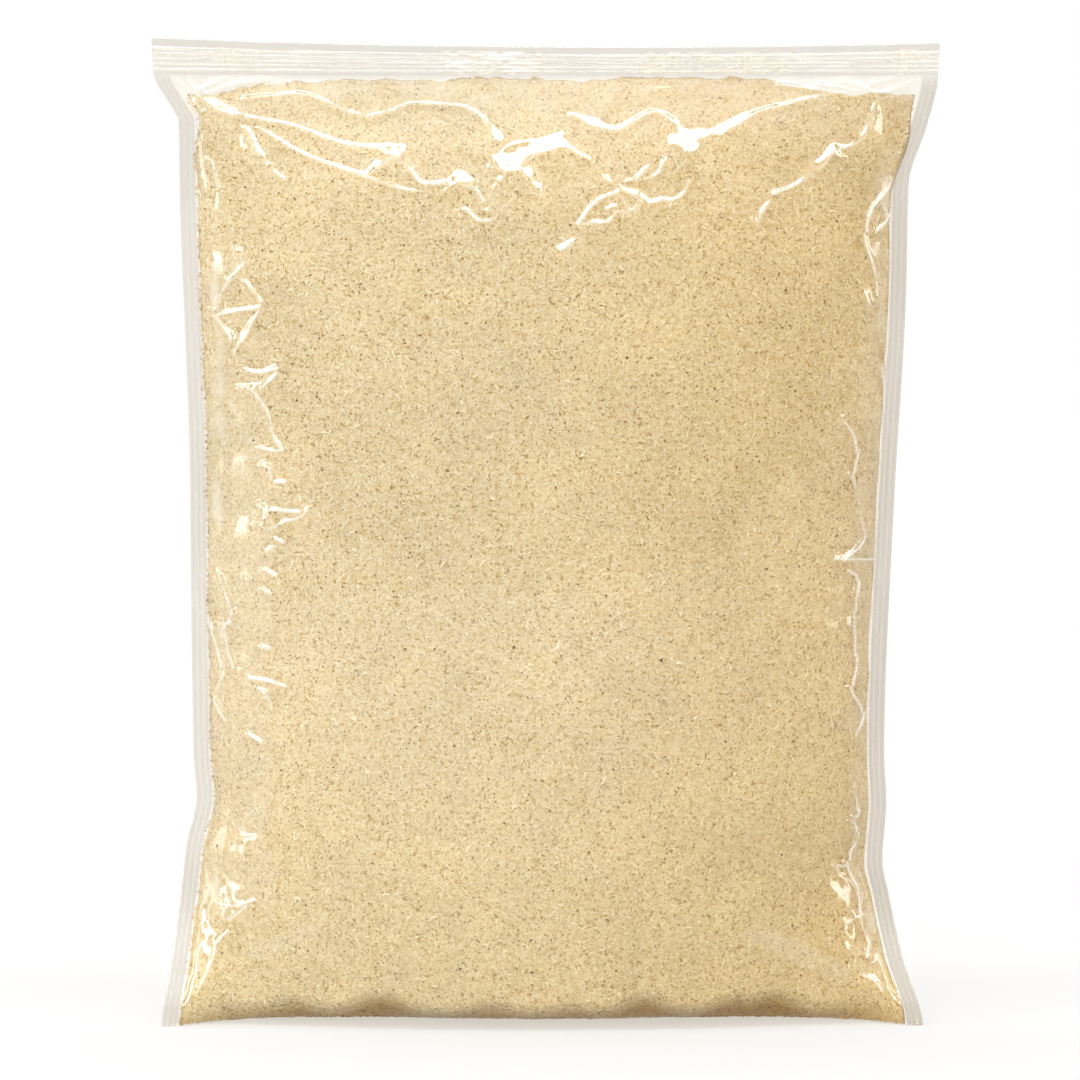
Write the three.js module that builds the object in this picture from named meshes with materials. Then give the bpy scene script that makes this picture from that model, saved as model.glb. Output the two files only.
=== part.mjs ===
// A clear film bag filled with almond flour and sealed shut, standing on its own base.
//
// Front and back sheets meet in a flat seal down each side and in a ribbed seal across the top.
// The flour pushes the sheets apart, which draws the side seals in from the flat width of the
// film: the bag keeps its full width only at the top seal and at the two pointed bottom corners.
// The base is pressed flat, and the front and back walls turn under into it along a dimpled edge.
//
// Millimetres, +Z up. X runs along the seals' width, and the front faces -Y.
// The origin is the middle of the base.

import * as THREE from "three";

// Driving dimensions
const FLAT_WIDTH = 215; // of the film, laid flat
const HEIGHT = 269.5; // of the standing bag, at its highest corner
const DEPTH = 59; // of the filled bag, at its thickest

// The ribbed seal across the top
const TOP_SEAL_HEIGHT = 10.8;
const RIB_COUNT = 5;
const RIB_PITCH = 1.45;
const RIB_HEIGHT = 0.3;
const TOP_MARGIN = 2; // of flat film, above the highest rib
const TOP_SAG = 2.5; // of the seal's middle, below its left end
const RIGHT_END_DROP = 1.4; // of the seal's right end, below its left end
const SAG_FROM = 150; // height from which the film follows the seal down
const TOP_WAVE = 0.9; // of the seal, to the front and back
const TOP_WAVE_LENGTH = 150;

// The side seals
const SIDE_SEAL_WIDTH = 4.6;
const SEAL_THICKNESS = 0.8;
const SEAL_SWAY = 0.9; // to the front and back, along a side seal
const SEAL_SWAY_LENGTH = 120;
const SEAL_HOLD = 6; // a higher power keeps the seals' sway nearer to them

// The bottom corners point to the front, and the section there runs out to a point
const EAR_FORWARD = 18;
const EAR_HEIGHT = 22;
const BODY_SECTION = { flatness: 3.4, roundness: 0.72 };
const BASE_SECTION = { flatness: 2.2, roundness: 0.92 };
const BASE_SECTION_HEIGHT = 20;

// The edge where a wall turns under into the base
const BASE_EDGE_RISE = 6.5;
const BASE_EDGE_INSET = 13;
const MOST_TURNED_UNDER = 0.55; // of the wall's distance from the seals' plane

// Puckers that run in from the side seals
const PUCKER_PITCH = 16.5;
const PUCKER_DEPTH = 2.2;
const PUCKER_REACH = 0.17; // of the half width
const PUCKER_DRIFT = 0.5; // how unevenly they follow each other
const PUCKERS_FROM = 20;
const PUCKERS_TO = 245;

// Mesh steps
const COLUMNS = 40; // over the width of one sheet
const BASE_HEIGHTS = [0, 0.7, 2, 4, 6.5, 9.5];
const WALL_STEP = 8.2;
const SHOULDER_STEP = 3.4;
const SHOULDER_FROM = 196;
const FOLD_STEPS = 14;

const HALF_WIDTH = FLAT_WIDTH / 2;
const HALF_DEPTH = DEPTH / 2;
const HALF_SEAL = SEAL_THICKNESS / 2;
const SHOULDER_TOP = HEIGHT - TOP_SEAL_HEIGHT;
const RIBS_TOP = HEIGHT - TOP_MARGIN;
const RIBS_BOTTOM = RIBS_TOP - RIB_COUNT * RIB_PITCH;

// How far each side seal is drawn in from the flat half width: [height, distance].
const LEFT_DRAWN_IN = [
  [0, 2.5],
  [16, 4.6],
  [35, 6.8],
  [48, 8.4],
  [61, 11.2],
  [72, 10.4],
  [150, 9.8],
  [226, 7.6],
  [247, 7.3],
  [252, 4.6],
  [SHOULDER_TOP, 0.4],
  [HEIGHT, 0],
];
const RIGHT_DRAWN_IN = [
  [0, 4.1],
  [18, 9.3],
  [34, 12.6],
  [43, 14.4],
  [60, 13.4],
  [73, 14.1],
  [145, 11.5],
  [200, 8.8],
  [230, 8.2],
  [246, 3.2],
  [SHOULDER_TOP, 0.3],
  [HEIGHT, 0],
];

// Half the bag's depth at its middle, as a share of the greatest: [height, share].
const FULLNESS = [
  [0, 0.92],
  [30, 0.97],
  [78, 1],
  [140, 0.95],
  [188, 0.82],
  [218, 0.63],
  [238, 0.41],
  [251, 0.17],
  [SHOULDER_TOP, 0],
];

// Dimples that lift the turned-under edge: [place across, rise, half width].
const FRONT_DIMPLES = [
  [-69, 2.2, 6],
  [-45, 4.6, 8],
  [-15, 1.8, 7],
  [7, 1.6, 6],
  [27, 4.2, 7],
  [51, 3.4, 7],
  [63, 4.4, 6],
  [88, 2.4, 5],
];
const BACK_DIMPLES = [
  [-74, 2.8, 7],
  [-38, 3.6, 8],
  [2, 2.6, 9],
  [34, 4.2, 7],
  [71, 3, 7],
];

// Folds of loose film: start, bend and end as places [across, height] on the sheet, with the
// fold's height and half width. A negative height makes a hollow.
const FRONT_FOLDS = [
  { path: [[-95, 253], [-66, 240], [-37, 236]], rise: 2.6, half: 4.5 },
  { path: [[-37, 236], [-26, 226], [-15, 220]], rise: 2.2, half: 4.5 },
  { path: [[-80, 252], [-48, 252], [-40, 246]], rise: 1.6, half: 4 },
  { path: [[-46, 247], [-22, 254], [-10, 236]], rise: 2.4, half: 4.5 },
  { path: [[7, 246], [20, 240], [38, 241]], rise: 2, half: 4.5 },
  { path: [[38, 241], [58, 251], [90, 253]], rise: 2.4, half: 4 },
  { path: [[90, 251], [83, 234], [62, 226]], rise: 2.4, half: 4.5 },
  { path: [[9, 220], [22, 232], [38, 240]], rise: 1.8, half: 5 },
  { path: [[-60, 246], [-42, 246], [-22, 244]], rise: -1.8, half: 5 },
  { path: [[-90, 190], [-84, 198], [-78, 194]], rise: -2.4, half: 6 },
  { path: [[-101, 8], [-92, 26], [-84, 38]], rise: 1.6, half: 4.5 },
  { path: [[97, 8], [90, 26], [84, 36]], rise: 1.6, half: 4.5 },
];
const BACK_FOLDS = [
  { path: [[-96, 252], [-70, 236], [-46, 230]], rise: 2.4, half: 5 },
  { path: [[-60, 250], [-30, 240], [-6, 246]], rise: 1.8, half: 4.5 },
  { path: [[-6, 246], [16, 238], [30, 226]], rise: 2.2, half: 5 },
  { path: [[95, 252], [72, 240], [50, 232]], rise: 2.6, half: 5 },
  { path: [[22, 249], [44, 252], [66, 246]], rise: 1.6, half: 4.5 },
  { path: [[-101, 8], [-90, 28], [-80, 40]], rise: 1.6, half: 5 },
  { path: [[98, 8], [88, 24], [78, 38]], rise: 1.6, half: 5 },
];
const FOLD_FADE_DEPTH = 4; // folds fade out where a sheet is nearer to the seals' plane

const { smoothstep, lerp } = THREE.MathUtils;

const FRONT = {
  sign: -1,
  folds: FRONT_FOLDS.map(withRidgeLine),
  dimples: FRONT_DIMPLES,
  puckerPhase: 0,
};
const BACK = {
  sign: 1,
  folds: BACK_FOLDS.map(withRidgeLine),
  dimples: BACK_DIMPLES,
  puckerPhase: 2.1,
};

// A smooth curve through [position, value] points that never overshoots them.
function curveThrough(points) {
  const slopes = points.slice(1).map(([p, v], i) => (v - points[i][1]) / (p - points[i][0]));
  const tangents = points.map((_, i) => {
    const before = slopes[i - 1];
    const after = slopes[i];
    if (before === undefined || after === undefined || before * after <= 0) return 0;
    return (2 * before * after) / (before + after);
  });
  return (at) => {
    const i = points.findIndex(([p], k) => k > 0 && at <= p) - 1;
    if (i < 0) return points.at(-1)[1];
    const [p0, v0] = points[i];
    const [p1, v1] = points[i + 1];
    const gap = p1 - p0;
    const t = (at - p0) / gap;
    return (
      v0 * (1 + 2 * t) * (1 - t) ** 2 +
      gap * tangents[i] * t * (1 - t) ** 2 +
      v1 * t * t * (3 - 2 * t) +
      gap * tangents[i + 1] * t * t * (t - 1)
    );
  };
}

const leftDrawnIn = curveThrough(LEFT_DRAWN_IN);
const rightDrawnIn = curveThrough(RIGHT_DRAWN_IN);
const fullness = curveThrough(FULLNESS);

// The cross-section's depth at across, -1 at the left seal and 1 at the right, as a share.
function sectionShare(across, z) {
  const nearBase = Math.exp(-z / BASE_SECTION_HEIGHT);
  const flatness = lerp(BODY_SECTION.flatness, BASE_SECTION.flatness, nearBase);
  const roundness = lerp(BODY_SECTION.roundness, BASE_SECTION.roundness, nearBase);
  return Math.max(0, 1 - Math.abs(across) ** flatness) ** roundness;
}

// A fold with its ridge line, as points [across, height].
function withRidgeLine(fold) {
  const [start, bend, end] = fold.path.map(([x, z]) => new THREE.Vector2(x, z));
  const line = new THREE.QuadraticBezierCurve(start, bend, end).getPoints(FOLD_STEPS);
  return { ...fold, line };
}

// What the folds of a sheet add to its depth at a place on it. A fold is low at both ends.
function foldRelief(folds, x, z) {
  return folds.reduce((sum, { line, rise, half }) => {
    const distances = line.map((p) => Math.hypot(p.x - x, p.y - z));
    const nearest = Math.min(...distances);
    const along = (distances.indexOf(nearest) + 1) / (FOLD_STEPS + 2);
    return sum + rise * Math.sin(Math.PI * along) * Math.exp(-((nearest / half) ** 2));
  }, 0);
}

// Puckers fade out from each side seal, and are sharpest in their hollows.
function puckerRelief(across, z, phase) {
  const reach = Math.exp(-(1 - Math.abs(across)) / PUCKER_REACH);
  const turn = (Math.PI * z) / PUCKER_PITCH + phase + Math.sign(across);
  const wave = Math.abs(Math.sin(turn + PUCKER_DRIFT * Math.sin(turn / 3)));
  const starts = smoothstep(z, PUCKERS_FROM, PUCKERS_FROM + PUCKER_PITCH);
  const stops = smoothstep(z, PUCKERS_TO - 2 * PUCKER_PITCH, PUCKERS_TO);
  return -PUCKER_DEPTH * reach * (1 - wave) * starts * (1 - stops);
}

// How far a wall is set in, near the floor, to turn under into the base.
function turnedUnder(dimples, x, z, depth) {
  const edgeRise = dimples.reduce(
    (sum, [place, rise, half]) => sum + rise * Math.exp(-(((x - place) / half) ** 2)),
    BASE_EDGE_RISE,
  );
  const inset = Math.min(BASE_EDGE_INSET, MOST_TURNED_UNDER * depth);
  const below = Math.max(0, 1 - z / edgeRise);
  return inset * (1 - Math.sqrt(1 - below ** 2));
}

// The surface midway between the sheets, which the seals lie in: how far it is to the back.
function midSurface(across, x, z) {
  const atTop = smoothstep(z, PUCKERS_TO, SHOULDER_TOP);
  const side = Math.sign(across);
  const sway = SEAL_SWAY * Math.sin((2 * Math.PI * z) / SEAL_SWAY_LENGTH + side) * (1 - atTop);
  const ear = EAR_FORWARD * Math.exp(-((z / EAR_HEIGHT) ** 2));
  const wave = TOP_WAVE * Math.sin((2 * Math.PI * x) / TOP_WAVE_LENGTH) * atTop;
  return across ** SEAL_HOLD * (sway - ear) + wave;
}

// How far the ribs of the top seal stand out at a height.
function ribRelief(z) {
  if (z > RIBS_TOP || z < RIBS_BOTTOM) return 0;
  return (RIB_HEIGHT * (1 - Math.cos((2 * Math.PI * (RIBS_TOP - z)) / RIB_PITCH))) / 2;
}

// The top seal hangs lower in the middle, and takes the film near it down with it.
function drop(x, z) {
  const share = x / HALF_WIDTH;
  const rightward = (RIGHT_END_DROP * (1 + share)) / 2;
  const middle = (TOP_SAG - RIGHT_END_DROP / 2) * (1 - share ** 2);
  return (rightward + middle) * smoothstep(z, SAG_FROM, SHOULDER_TOP);
}

// Places across a sheet, closer together at its sides: across is -1 at the left side seal and
// 1 at the right one, on its inner edge or, for the first and last, on its outer edge.
function placesAcross() {
  const body = Array.from({ length: COLUMNS + 1 }, (_, i) => {
    const turn = i / COLUMNS - 0.5;
    return { across: Math.sin(Math.PI * turn), outer: false };
  });
  return [{ across: -1, outer: true }, ...body, { across: 1, outer: true }];
}

function sheetPoint(sheet, { across, outer }, z) {
  const left = leftDrawnIn(z) + SIDE_SEAL_WIDTH - HALF_WIDTH;
  const right = HALF_WIDTH - rightDrawnIn(z) - SIDE_SEAL_WIDTH;
  const inner = lerp(left, right, (across + 1) / 2);
  const x = outer ? inner + across * SIDE_SEAL_WIDTH : inner;
  const wall = HALF_DEPTH * fullness(z) * sectionShare(across, z);
  const relief = foldRelief(sheet.folds, x, z) + puckerRelief(across, z, sheet.puckerPhase);
  const bulge = Math.max(0, wall + relief * Math.min(1, wall / FOLD_FADE_DEPTH));
  const depth = HALF_SEAL + bulge + ribRelief(z);
  const outward = depth - turnedUnder(sheet.dimples, x, z, depth);
  return new THREE.Vector3(x, midSurface(across, x, z) + sheet.sign * outward, z - drop(x, z));
}

// Heights of the rings: close at the base's edge, over the shoulder and over each rib.
function ringHeights() {
  const heights = [...BASE_HEIGHTS];
  const riseTo = (height, step) => {
    const from = heights.at(-1);
    const count = Math.round((height - from) / step);
    for (let i = 1; i <= count; i++) heights.push(lerp(from, height, i / count));
  };
  riseTo(SHOULDER_FROM, WALL_STEP);
  riseTo(SHOULDER_TOP, SHOULDER_STEP);
  riseTo(RIBS_BOTTOM, RIB_PITCH);
  riseTo(RIBS_TOP, RIB_PITCH / 2);
  riseTo(HEIGHT, TOP_MARGIN);
  return heights;
}

// The closed surface through rings of equal length, each the front sheet's points from left to
// right and then the back sheet's from right to left. Strips from front to back close the ends.
function loftedRings(rings) {
  const count = rings[0].length;
  const index = [];
  const quad = (a, b, c, d) => index.push(a, b, c, a, c, d);
  for (let low = 0; low < (rings.length - 1) * count; low += count) {
    for (let i = 0; i < count; i++) {
      const next = (i + 1) % count;
      quad(low + i, low + next, low + count + next, low + count + i);
    }
  }
  const top = (rings.length - 1) * count;
  for (let i = 0; i + 1 < count / 2; i++) {
    const opposite = count - 1 - i;
    quad(opposite, opposite - 1, i + 1, i);
    quad(top + i, top + i + 1, top + opposite - 1, top + opposite);
  }
  return new THREE.BufferGeometry().setFromPoints(rings.flat()).setIndex(index);
}

function bagGeometry() {
  const places = placesAcross();
  const rings = ringHeights().map((z) => {
    const front = places.map((place) => sheetPoint(FRONT, place, z));
    const back = places.map((place) => sheetPoint(BACK, place, z));
    return [...front, ...back.reverse()];
  });
  const geometry = loftedRings(rings);
  geometry.computeBoundingBox();
  const { min, max } = geometry.boundingBox;
  geometry.translate(-(min.x + max.x) / 2, -(min.y + max.y) / 2, -min.z);
  geometry.computeVertexNormals();
  return geometry;
}

// Pale cream flour, seen through glossy film.
const filledFilm = new THREE.MeshStandardMaterial({
  color: 0xe4cfa1,
  roughness: 0.35,
  metalness: 0,
});

const bag = new THREE.Mesh(bagGeometry(), filledFilm);
bag.name = "bag";

const group = new THREE.Group();
group.add(bag);

export default group;
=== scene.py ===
"""A clear film bag filled with almond flour and sealed shut, standing on a pale studio floor.

The film is one closed skin of a front and a back sheet, joined in the side seals and in the
ribbed top seal. Loose folds and puckers stand in it. Under it lies a core of flour with its own
relief, with flakes of ground almond and specks of brown skin scattered over it.

Shapes are worked out in millimetres and made in metres. The front faces -Y.
"""

import math

import bpy
import numpy as np
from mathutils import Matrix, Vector


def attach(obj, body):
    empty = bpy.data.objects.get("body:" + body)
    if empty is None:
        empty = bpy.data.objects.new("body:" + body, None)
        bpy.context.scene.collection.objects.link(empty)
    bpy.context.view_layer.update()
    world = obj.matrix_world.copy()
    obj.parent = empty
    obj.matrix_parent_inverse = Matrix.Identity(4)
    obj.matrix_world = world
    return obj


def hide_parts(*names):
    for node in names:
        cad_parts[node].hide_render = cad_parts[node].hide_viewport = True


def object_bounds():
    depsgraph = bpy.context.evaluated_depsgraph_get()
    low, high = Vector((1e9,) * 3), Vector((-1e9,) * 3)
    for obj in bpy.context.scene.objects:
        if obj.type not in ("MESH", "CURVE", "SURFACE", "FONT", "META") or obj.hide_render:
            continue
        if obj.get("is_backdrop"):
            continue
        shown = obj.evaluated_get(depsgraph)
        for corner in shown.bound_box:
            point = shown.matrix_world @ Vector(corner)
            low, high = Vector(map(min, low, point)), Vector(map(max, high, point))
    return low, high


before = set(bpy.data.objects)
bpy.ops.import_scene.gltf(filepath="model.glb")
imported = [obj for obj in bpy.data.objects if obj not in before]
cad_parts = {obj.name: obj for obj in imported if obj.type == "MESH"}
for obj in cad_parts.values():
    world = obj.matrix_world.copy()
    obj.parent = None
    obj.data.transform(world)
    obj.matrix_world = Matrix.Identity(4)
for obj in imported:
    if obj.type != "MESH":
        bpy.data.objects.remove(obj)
cad_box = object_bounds()

MM = 0.001
SEED = 20

# The bag's form, as in the CAD solid
FLAT_WIDTH = 215.0
HEIGHT = 269.5
DEPTH = 59.0
HALF_WIDTH = FLAT_WIDTH / 2
HALF_DEPTH = DEPTH / 2

TOP_SEAL_HEIGHT = 9.9
SHOULDER_TOP = HEIGHT - TOP_SEAL_HEIGHT
RIB_COUNT = 5
RIB_PITCH = 1.45
TOP_MARGIN = 2.0
RIBS_TOP = HEIGHT - TOP_MARGIN
RIBS_BOTTOM = RIBS_TOP - RIB_COUNT * RIB_PITCH
TOP_SAG = 2.5
RIGHT_END_DROP = 1.4
SAG_FROM = 150.0
TOP_WAVE = 0.9
TOP_WAVE_LENGTH = 150.0

SIDE_SEAL_WIDTH = 4.6
SEAL_SWAY = 0.9
SEAL_SWAY_LENGTH = 120.0
SEAL_HOLD = 6
EAR_FORWARD = 18.0
EAR_HEIGHT = 22.0

BODY_FLATNESS = 3.4
BODY_ROUNDNESS = 0.72
BASE_FLATNESS = 2.2
BASE_ROUNDNESS = 0.92
BASE_SECTION_HEIGHT = 20.0
BASE_EDGE_RISE = 6.5
BASE_EDGE_INSET = 13.0
MOST_TURNED_UNDER = 0.55

PUCKER_PITCH = 16.5
PUCKER_DEPTH = 1.3
PUCKER_REACH = 0.17
PUCKER_DRIFT = 0.5
PUCKERS_FROM = 20.0
PUCKERS_TO = 245.0
# Unevenness of the puckers: how far they wander and over what height, and how shallow they get
PUCKER_WANDER, PUCKER_WANDER_HEIGHT = 1.6, 21.0
PUCKER_SHARE, PUCKER_SHARE_SPREAD, PUCKER_SHARE_HEIGHT = 0.45, 0.35, 27.0
PUCKER_FULL_DEPTH = 4.0

# How far each side seal is drawn in from the flat half width: (height, distance).
LEFT_DRAWN_IN = (
    (0, 2.5), (16, 4.6), (35, 6.8), (48, 8.4), (61, 11.2), (72, 10.4), (150, 9.8),
    (226, 7.6), (247, 7.3), (252, 4.6), (SHOULDER_TOP, 0.4), (HEIGHT, 0),
)
RIGHT_DRAWN_IN = (
    (0, 4.1), (18, 9.3), (34, 12.6), (43, 14.4), (60, 13.4), (73, 14.1), (145, 11.5),
    (200, 8.8), (230, 8.2), (246, 3.2), (SHOULDER_TOP, 0.3), (HEIGHT, 0),
)

# Half the bag's depth at its middle, as a share of the greatest: (height, share).
FULLNESS = (
    (0, 0.92), (30, 0.97), (78, 1), (140, 0.95), (188, 0.82), (218, 0.63), (238, 0.39),
    (247, 0.225), (253, 0.118), (257.5, 0.034), (SHOULDER_TOP, 0),
)

# Dimples that lift the turned-under edge: (place across, rise, half width).
FRONT_DIMPLES = (
    (-69, 2.2, 6), (-45, 4.6, 8), (-15, 1.8, 7), (7, 1.6, 6), (27, 4.2, 7), (51, 3.4, 7),
    (63, 4.4, 6), (88, 2.4, 5),
)
BACK_DIMPLES = ((-74, 2.8, 7), (-38, 3.6, 8), (2, 2.6, 9), (34, 4.2, 7), (71, 3, 7))

# Film only, and not in the solid
FILM_SEAL_THICKNESS = 0.3
FILM_RIB_HEIGHT = 0.42
FILM_SAG_IN_BAND = 0.85
FRONT_EDGE_INSET = 21.0
FILM_EDGE_ROUND = 0.35

# The flank of a crease that shows the light over the bag, and the gentler one below its crest
GLINT_SLOPE = 0.82
LEAST_SLOPE, GREATEST_SLOPE = 0.3, 1.4
SLOPE_SPREAD, SLOPE_SPREAD_LENGTH = 0.13, 2.3
THINNEST_FLANK = 0.95
SHORTEST_RUN = 0.05
FLANK_MIDDLE = 0.45
LOWER_FLANK = 1.8
CREST_BLUNT = 0.2
CREASE_FOOT = 0.2
# A thin flank is made steeper, as the mesh rounds it off: flank widths, and how much steeper
THIN_FLANK, BROAD_FLANK, THIN_STEEPER = 0.7, 1.7, 1.35
# Flanks narrower than this need the smallest cells
NARROW_FLANK = 1.5
# The painted highlight on a crest, a white line where the film would mirror the light: half
# width, distance above the crest, and flank widths from which it starts and is full
GLINT_LINE, GLINT_LINE_RISE, GLINT_LINE_FROM, GLINT_LINE_FULL = 0.6, 0.2, 0.4, 0.8

# Facets: unevenness of their edges, and slopes and reaches of their other sides as shares of
# the slope that shines and of the width
FACET_RAGGED, FACET_RAGGED_LENGTH = 0.3, 1.9
FACET_LEAST_SLOPE = 0.25
FACET_FOOT_SLOPE, FACET_FOOT_REACH = 0.7, 1.4
FACET_END_SLOPE, FACET_END_REACH = 1.4, 0.3
FACET_MARGIN = 0.4

# Glints on the front sheet's creases, as seen from straight in front: places on the middle line
# of the flank that shines, as (place across, height, width of the flank).
SHOULDER_CREASES = (
    # from the upper left corner down to the middle
    ((-95.3, 254, 0.8), (-91, 251.5, 2.2), (-87, 249, 2.8), (-78, 247, 0.9), (-68.6, 245.2, 0.8),
     (-60, 242, 1.2), (-53.3, 240, 1.6), (-46, 239.4, 1.4), (-41.8, 238.2, 3.4),
     (-38, 234.5, 1.8), (-34.2, 230, 1.2), (-31, 229.4, 1), (-27.7, 229.7, 1.6),
     (-24.4, 230.8, 2.4), (-22.3, 231.7, 2.8), (-21, 229.2, 2.6), (-19.3, 228.2, 1.2),
     (-16.8, 224.1, 0.7)),
    # the loop below
    ((-23.3, 222.6, 1.1), (-21.4, 222.2, 0.8), (-20.1, 220.7, 0.7), (-18.4, 219.5, 0.7),
     (-16.2, 219.2, 0.8), (-13.8, 220.1, 0.8), (-11.6, 222.6, 0.9), (-9.7, 225.1, 0.8),
     (-8.6, 228.9, 0.5)),
    ((-16, 222.3, 0.6), (-13.8, 221, 0.7)),
    # under the start of the first
    ((-78.1, 244.6, 0.6), (-66.1, 237.6, 0.8), (-55.8, 233.7, 1.2), (-46.9, 231.2, 2.2),
     (-39.2, 228, 0.8), (-32.2, 227.3, 0.5)),
    ((-41.8, 238, 2.4), (-46, 234.5, 3), (-49, 232, 1.2)),
    ((-81.3, 244.5, 1.6), (-78.7, 239.5, 2.2), (-74.9, 233.8, 1.8), (-71.1, 230.5, 0.6)),
    # along the seal and down
    ((-82, 252.9, 0.5), (-73.7, 253.5, 0.9), (-67.2, 254, 0.8), (-61, 252.3, 0.8),
     (-54.4, 249.3, 1), (-48.1, 248, 1.4), (-41.9, 249.3, 0.8), (-36.7, 251.3, 0.8),
     (-27.7, 251, 0.8), (-22.2, 250.4, 0.9), (-18.4, 248.5, 1.1), (-15.7, 245.8, 1.8),
     (-12.6, 241.5, 3.2)),
    # into the broad glint in the middle
    ((-12.7, 230.2, 1.2), (-10.8, 233.8, 2), (-7.5, 236.5, 2.5), (-3.1, 237.9, 2.5),
     (0.7, 240.1, 2.4), (4, 240.6, 2), (6.7, 239.2, 1.2), (9.4, 237.3, 0.8), (12, 236.1, 0.5)),
    # from the middle right down to the second broad glint
    ((7.2, 248.2, 0.8), (9.7, 247.3, 1.2), (12.1, 246.2, 2.2), (14.9, 245, 2), (18.1, 244.3, 1.2),
     (20.9, 244.8, 1.6), (23.6, 246.4, 1.4), (26.3, 248, 0.8), (29.1, 249.1, 0.8),
     (32.3, 248.4, 1), (35.6, 245.8, 1.8)),
    ((35.9, 245, 1.6), (37.8, 242.5, 2.2), (39.1, 240.4, 2.4), (38.9, 237.8, 1.6)),
    # and on to the right corner
    ((42.1, 242.8, 3), (45.4, 243.3, 1.2), (49.2, 245, 2.2), (53.1, 246.6, 2.4), (58, 249.2, 1),
     (67.2, 251.5, 0.7), (74.9, 253.4, 0.7), (85.2, 254.8, 0.5), (90.3, 254.1, 0.8)),
    # the tangle below
    ((37.8, 235.9, 0.8), (36.4, 234.1, 1.4), (34.9, 232.3, 0.8)),
    ((32.1, 235.5, 0.5), (31.2, 233, 0.7), (29.9, 231.6, 0.9), (27.4, 230.9, 1.2), (25, 230.5, 1),
     (22.5, 230.2, 0.6)),
    ((27.1, 233.5, 0.9), (26.1, 232.2, 1.6), (24.7, 231.1, 1.2)),
    ((8.9, 218.4, 0.8), (11, 221.5, 1.2), (13.2, 224, 1.2), (16.2, 225.9, 1), (19.5, 226.7, 1),
     (21.1, 225.6, 0.9), (22.2, 223.2, 1), (23.3, 222.1, 1), (24.7, 223.4, 0.9), (25, 225.3, 0.9),
     (23.6, 227, 1.6), (20.9, 228.4, 1.4)),
    ((23.6, 227, 1.6), (26.3, 225.9, 1.4), (28.5, 224.2, 1.2), (31.2, 225.1, 1.6),
     (34.5, 224.9, 0.8), (36.7, 225.9, 0.7), (38.3, 228.3, 0.7), (39.4, 232.2, 0.5)),
    ((8.9, 218.4, 0.8), (12.7, 218.9, 1.6), (15.4, 218.8, 1), (17.6, 219.3, 1), (19, 221.8, 1),
     (20.9, 221.8, 1), (23.1, 221.1, 0.9), (25, 222.3, 0.8), (25.8, 224.5, 0.8)),
    ((16.5, 222.3, 0.8), (18.1, 223.4, 1.3), (19.5, 223.2, 1)),
    ((17.2, 230.6, 1.4), (17.7, 229.8, 1.2)),
    ((4, 212, 1), (5.6, 212.3, 2.6), (6.4, 213.2, 2)),
    # down from the right corner
    ((89.6, 251, 0.9), (88.4, 246.5, 1.8), (86.5, 242.6, 2.2), (82.7, 239.5, 1.2),
     (78.2, 238.9, 2.2), (75, 235, 2.8), (71.2, 231.2, 1.8), (66.2, 228.1, 0.8),
     (61.7, 226.7, 1.5)),
    ((61, 224.8, 0.8), (57.2, 219, 1.9)),
    # fans from the two corners
    ((91.5, 254.1, 0.9), (74.9, 256.7, 0.5)),
    ((91.5, 254.1, 0.9), (80, 258, 0.5)),
    ((91.2, 253.2, 0.7), (79, 254.6, 0.5), (64, 256.6, 0.4)),
    ((90, 252.2, 0.6), (92.8, 253, 1.3), (95.8, 254.2, 0.5)),
    ((89.1, 254.8, 0.6), (82, 258.4, 0.5)),
    ((88.8, 257, 0.5), (96, 258.6, 0.6), (104, 260, 0.4)),
    ((-95.2, 254.6, 0.6), (-88, 258.6, 0.5)),
    ((-96, 251, 0.6), (-101.5, 255, 0.7), (-105.4, 257, 0.4)),
    ((91.5, 254.1, 0.9), (99.2, 256.5, 0.6)),
    ((91.5, 254.1, 0.9), (103, 258.5, 0.5)),
    ((-94.8, 253.5, 0.9), (-105, 261, 0.5)),
    ((-94.8, 253.5, 0.9), (-97.8, 259.2, 0.5)),
    ((-94.8, 253.5, 0.9), (-85.1, 256.7, 0.6), (-76, 258.6, 0.4)),
    ((-94.8, 252.9, 0.8), (-94, 242.7, 0.7), (-95.3, 230, 0.6), (-93.4, 218.5, 0.6),
     (-91.5, 208.2, 0.5)),
    ((-91, 235, 0.6), (-89.1, 228.6, 0.9), (-89.6, 222.3, 0.5)),
)

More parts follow.
